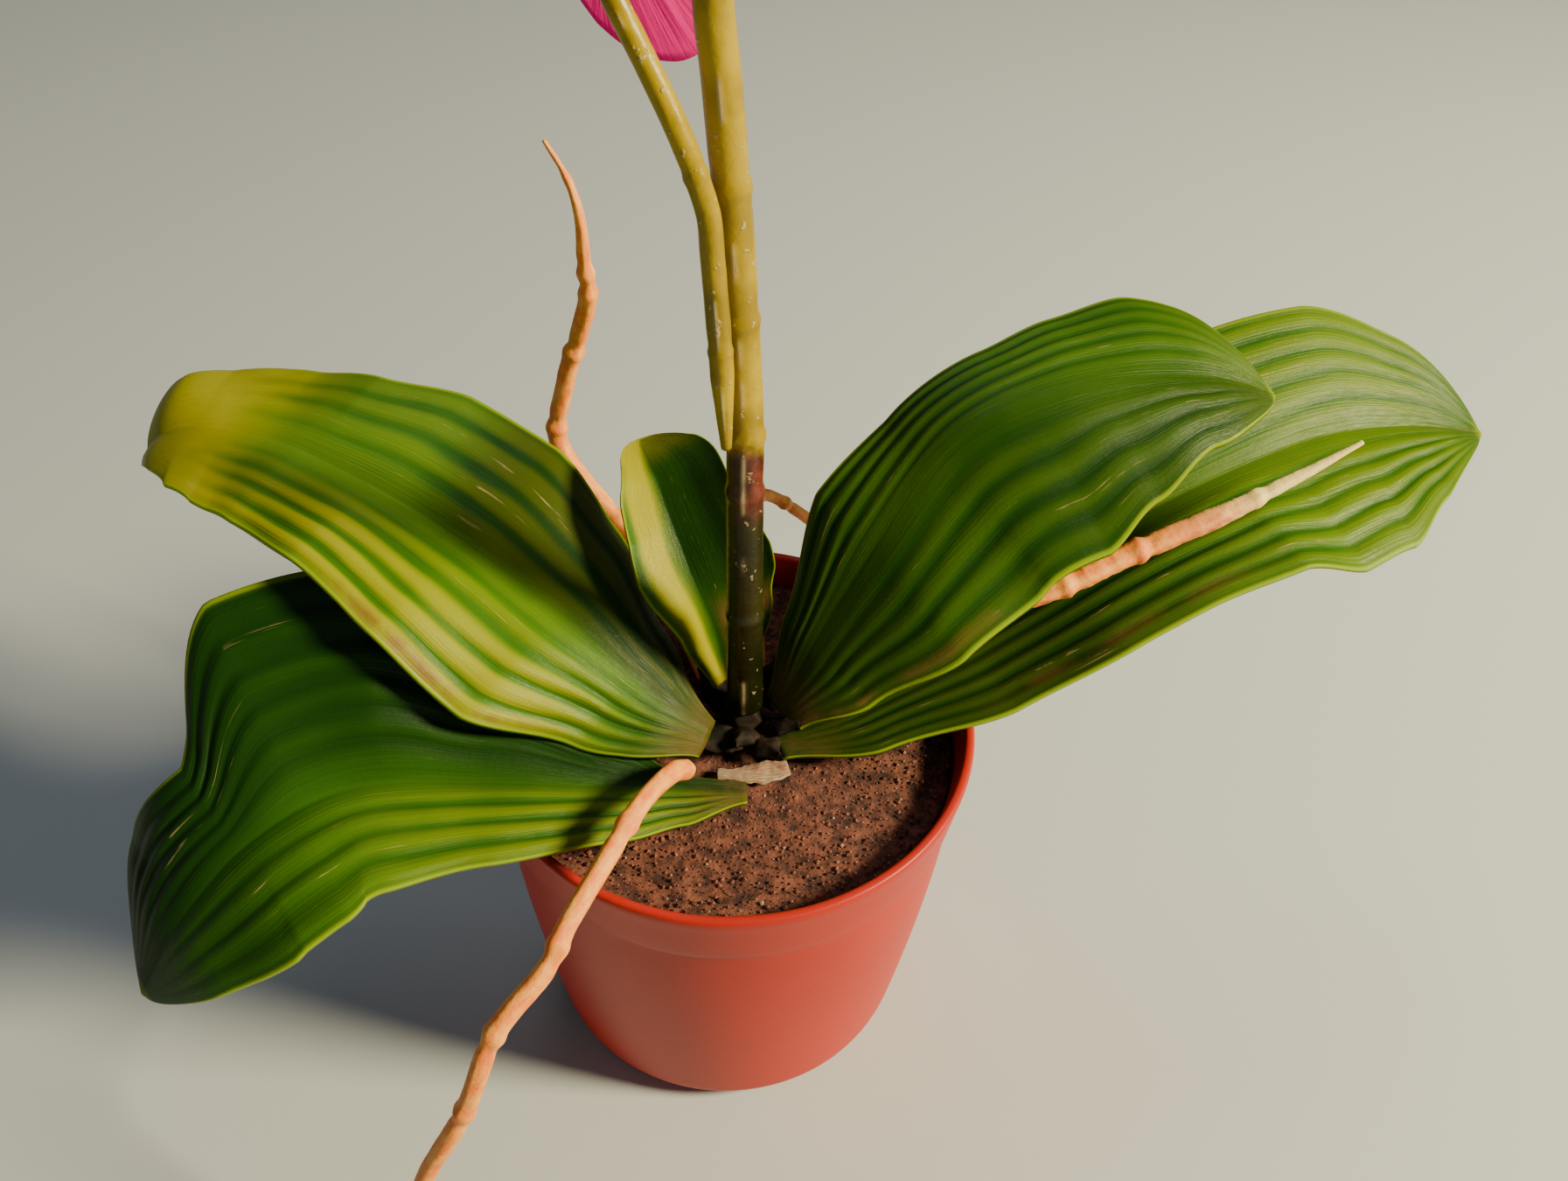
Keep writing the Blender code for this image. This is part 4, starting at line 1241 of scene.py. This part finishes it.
def build_bud(name, spike, share, direction, size, finish):
    way = Vector(direction).normalized()
    toward = spline(spikes()[spike][0], share)[0] + way * 0.05
    start, out = stalk_start(spike, share, toward)
    length = BUD_LENGTH * size
    stalk = BUD_STALK * size
    route = [start, start + out * stalk * 0.6, start + out * stalk * 0.5 + way * stalk * 0.6]
    route += [route[-1] + way * length * s for s in (0.35, 0.7, 1.0)]
    total = sum((b - a).length for a, b in zip(route, route[1:]))
    neck = 1 - length / total

    def radius_at(share_along, angle):
        if share_along <= neck:
            return PEDICEL_RADIUS
        swell = (share_along - neck) / (1 - neck)
        seams = 1 - 0.07 * (1 - abs(sin(1.5 * angle))) ** 3
        return max(PEDICEL_RADIUS * 0.5, 0.42 * length * sin(pi * min(swell, 0.985)) ** 0.6 * seams)

    vertices, faces, run = tube(route, radius_at, 120, 48)
    add_piece(name + "_closed", vertices, faces, finish, [name], {"run": run})


def build_flowers():
    finishes = {
        "petal": petal_material("petal_velvet", MAGENTA, DEEP_MAGENTA, PINK),
        "lip": petal_material("lip_velvet", CRIMSON, DEEP_CRIMSON, GOLD),
        "stalk": stalk_material("stalk_skin", (0.33, 0.30, 0.02), (0.50, 0.05, 0.12)),
    }
    for flower in FLOWERS:
        build_flower(*flower, finishes)
    closed = stalk_material("bud_skin", (0.30, 0.30, 0.03), (0.62, 0.015, 0.15))
    for bud in BUDS:
        build_bud(*bud, closed)


# Stage

SENSOR_WIDTH = 36.0
LENS = 29.113
CAMERA_PLACE = Vector((0.0, -0.2055, 0.339))
CAMERA_PITCH = 43.3  # degrees down, then to the right, then around the line of sight
CAMERA_YAW = 3.25
CAMERA_ROLL = 2.8
FLOOR_REACH = 14.0
FLOOR_COLOUR = (0.52, 0.57, 0.60, 1.0)
FLOOR_ROUGHNESS = 0.85
STUDIO_COLOUR = (0.80, 0.90, 1.0, 1.0)
STUDIO_STRENGTH = 0.11
# Each light's place, aim, size, power and colour.
LIGHTS = {
    "key": ((1.36, -0.38, 1.06), (0.0, 0.0, 0.12), 0.36, 74.0, (1.0, 0.85, 0.52)),
    "overhead": ((-0.12, 0.60, 1.25), (0.0, 0.0, 0.10), 0.50, 2.0, (0.90, 0.96, 1.0)),
}


def build_camera():
    pitch, yaw, roll = radians(CAMERA_PITCH), radians(CAMERA_YAW), radians(CAMERA_ROLL)
    ahead = Vector((sin(yaw) * cos(pitch), cos(yaw) * cos(pitch), -sin(pitch)))
    level = Vector((cos(yaw), -sin(yaw), 0.0))
    above = level.cross(ahead)
    right = level * cos(roll) + above * sin(roll)
    top = above * cos(roll) - level * sin(roll)
    data = bpy.data.cameras.new("camera")
    data.sensor_width = SENSOR_WIDTH
    data.lens = LENS
    data.clip_start = 0.01
    camera = add_object("camera", data)
    turn = Matrix((right, top, -ahead)).transposed().to_4x4()
    camera.matrix_world = Matrix.Translation(CAMERA_PLACE) @ turn
    bpy.context.scene.camera = camera


def add_light(name, place, aim, size, power, colour):
    data = bpy.data.lights.new(name, "AREA")
    data.shape = "DISK"
    data.size = size
    data.energy = power
    data.color = colour
    light = add_object(name, data)
    light.location = place
    light.rotation_euler = (Vector(aim) - Vector(place)).to_track_quat("-Z", "Y").to_euler()


def build_stage():
    mesh = bpy.data.meshes.new("floor")
    corners = [(x * FLOOR_REACH, y * FLOOR_REACH, 0.0) for x, y in ((-1, -1), (1, -1), (1, 1), (-1, 1))]
    mesh.from_pydata(corners, [], [(0, 1, 2, 3)])
    floor = add_object("floor", mesh)
    pale, tree = start_material("pale_floor")
    shader = tree.nodes["Principled BSDF"]
    shader.inputs["Base Color"].default_value = FLOOR_COLOUR
    shader.inputs["Roughness"].default_value = FLOOR_ROUGHNESS
    mesh.materials.append(pale)
    world = bpy.data.worlds.new("studio")
    world.use_nodes = True
    background = world.node_tree.nodes["Background"]
    background.inputs["Color"].default_value = STUDIO_COLOUR
    background.inputs["Strength"].default_value = STUDIO_STRENGTH
    bpy.context.scene.world = world
    for name, light in LIGHTS.items():
        add_light(name, *light)


build_camera()
build_stage()
build_pot()
build_soil()
build_granules()
build_crown()
build_sheath()
build_leaves()
for root_name, root in ROOTS.items():
    build_root(root_name, root)
build_stems()
build_flowers()
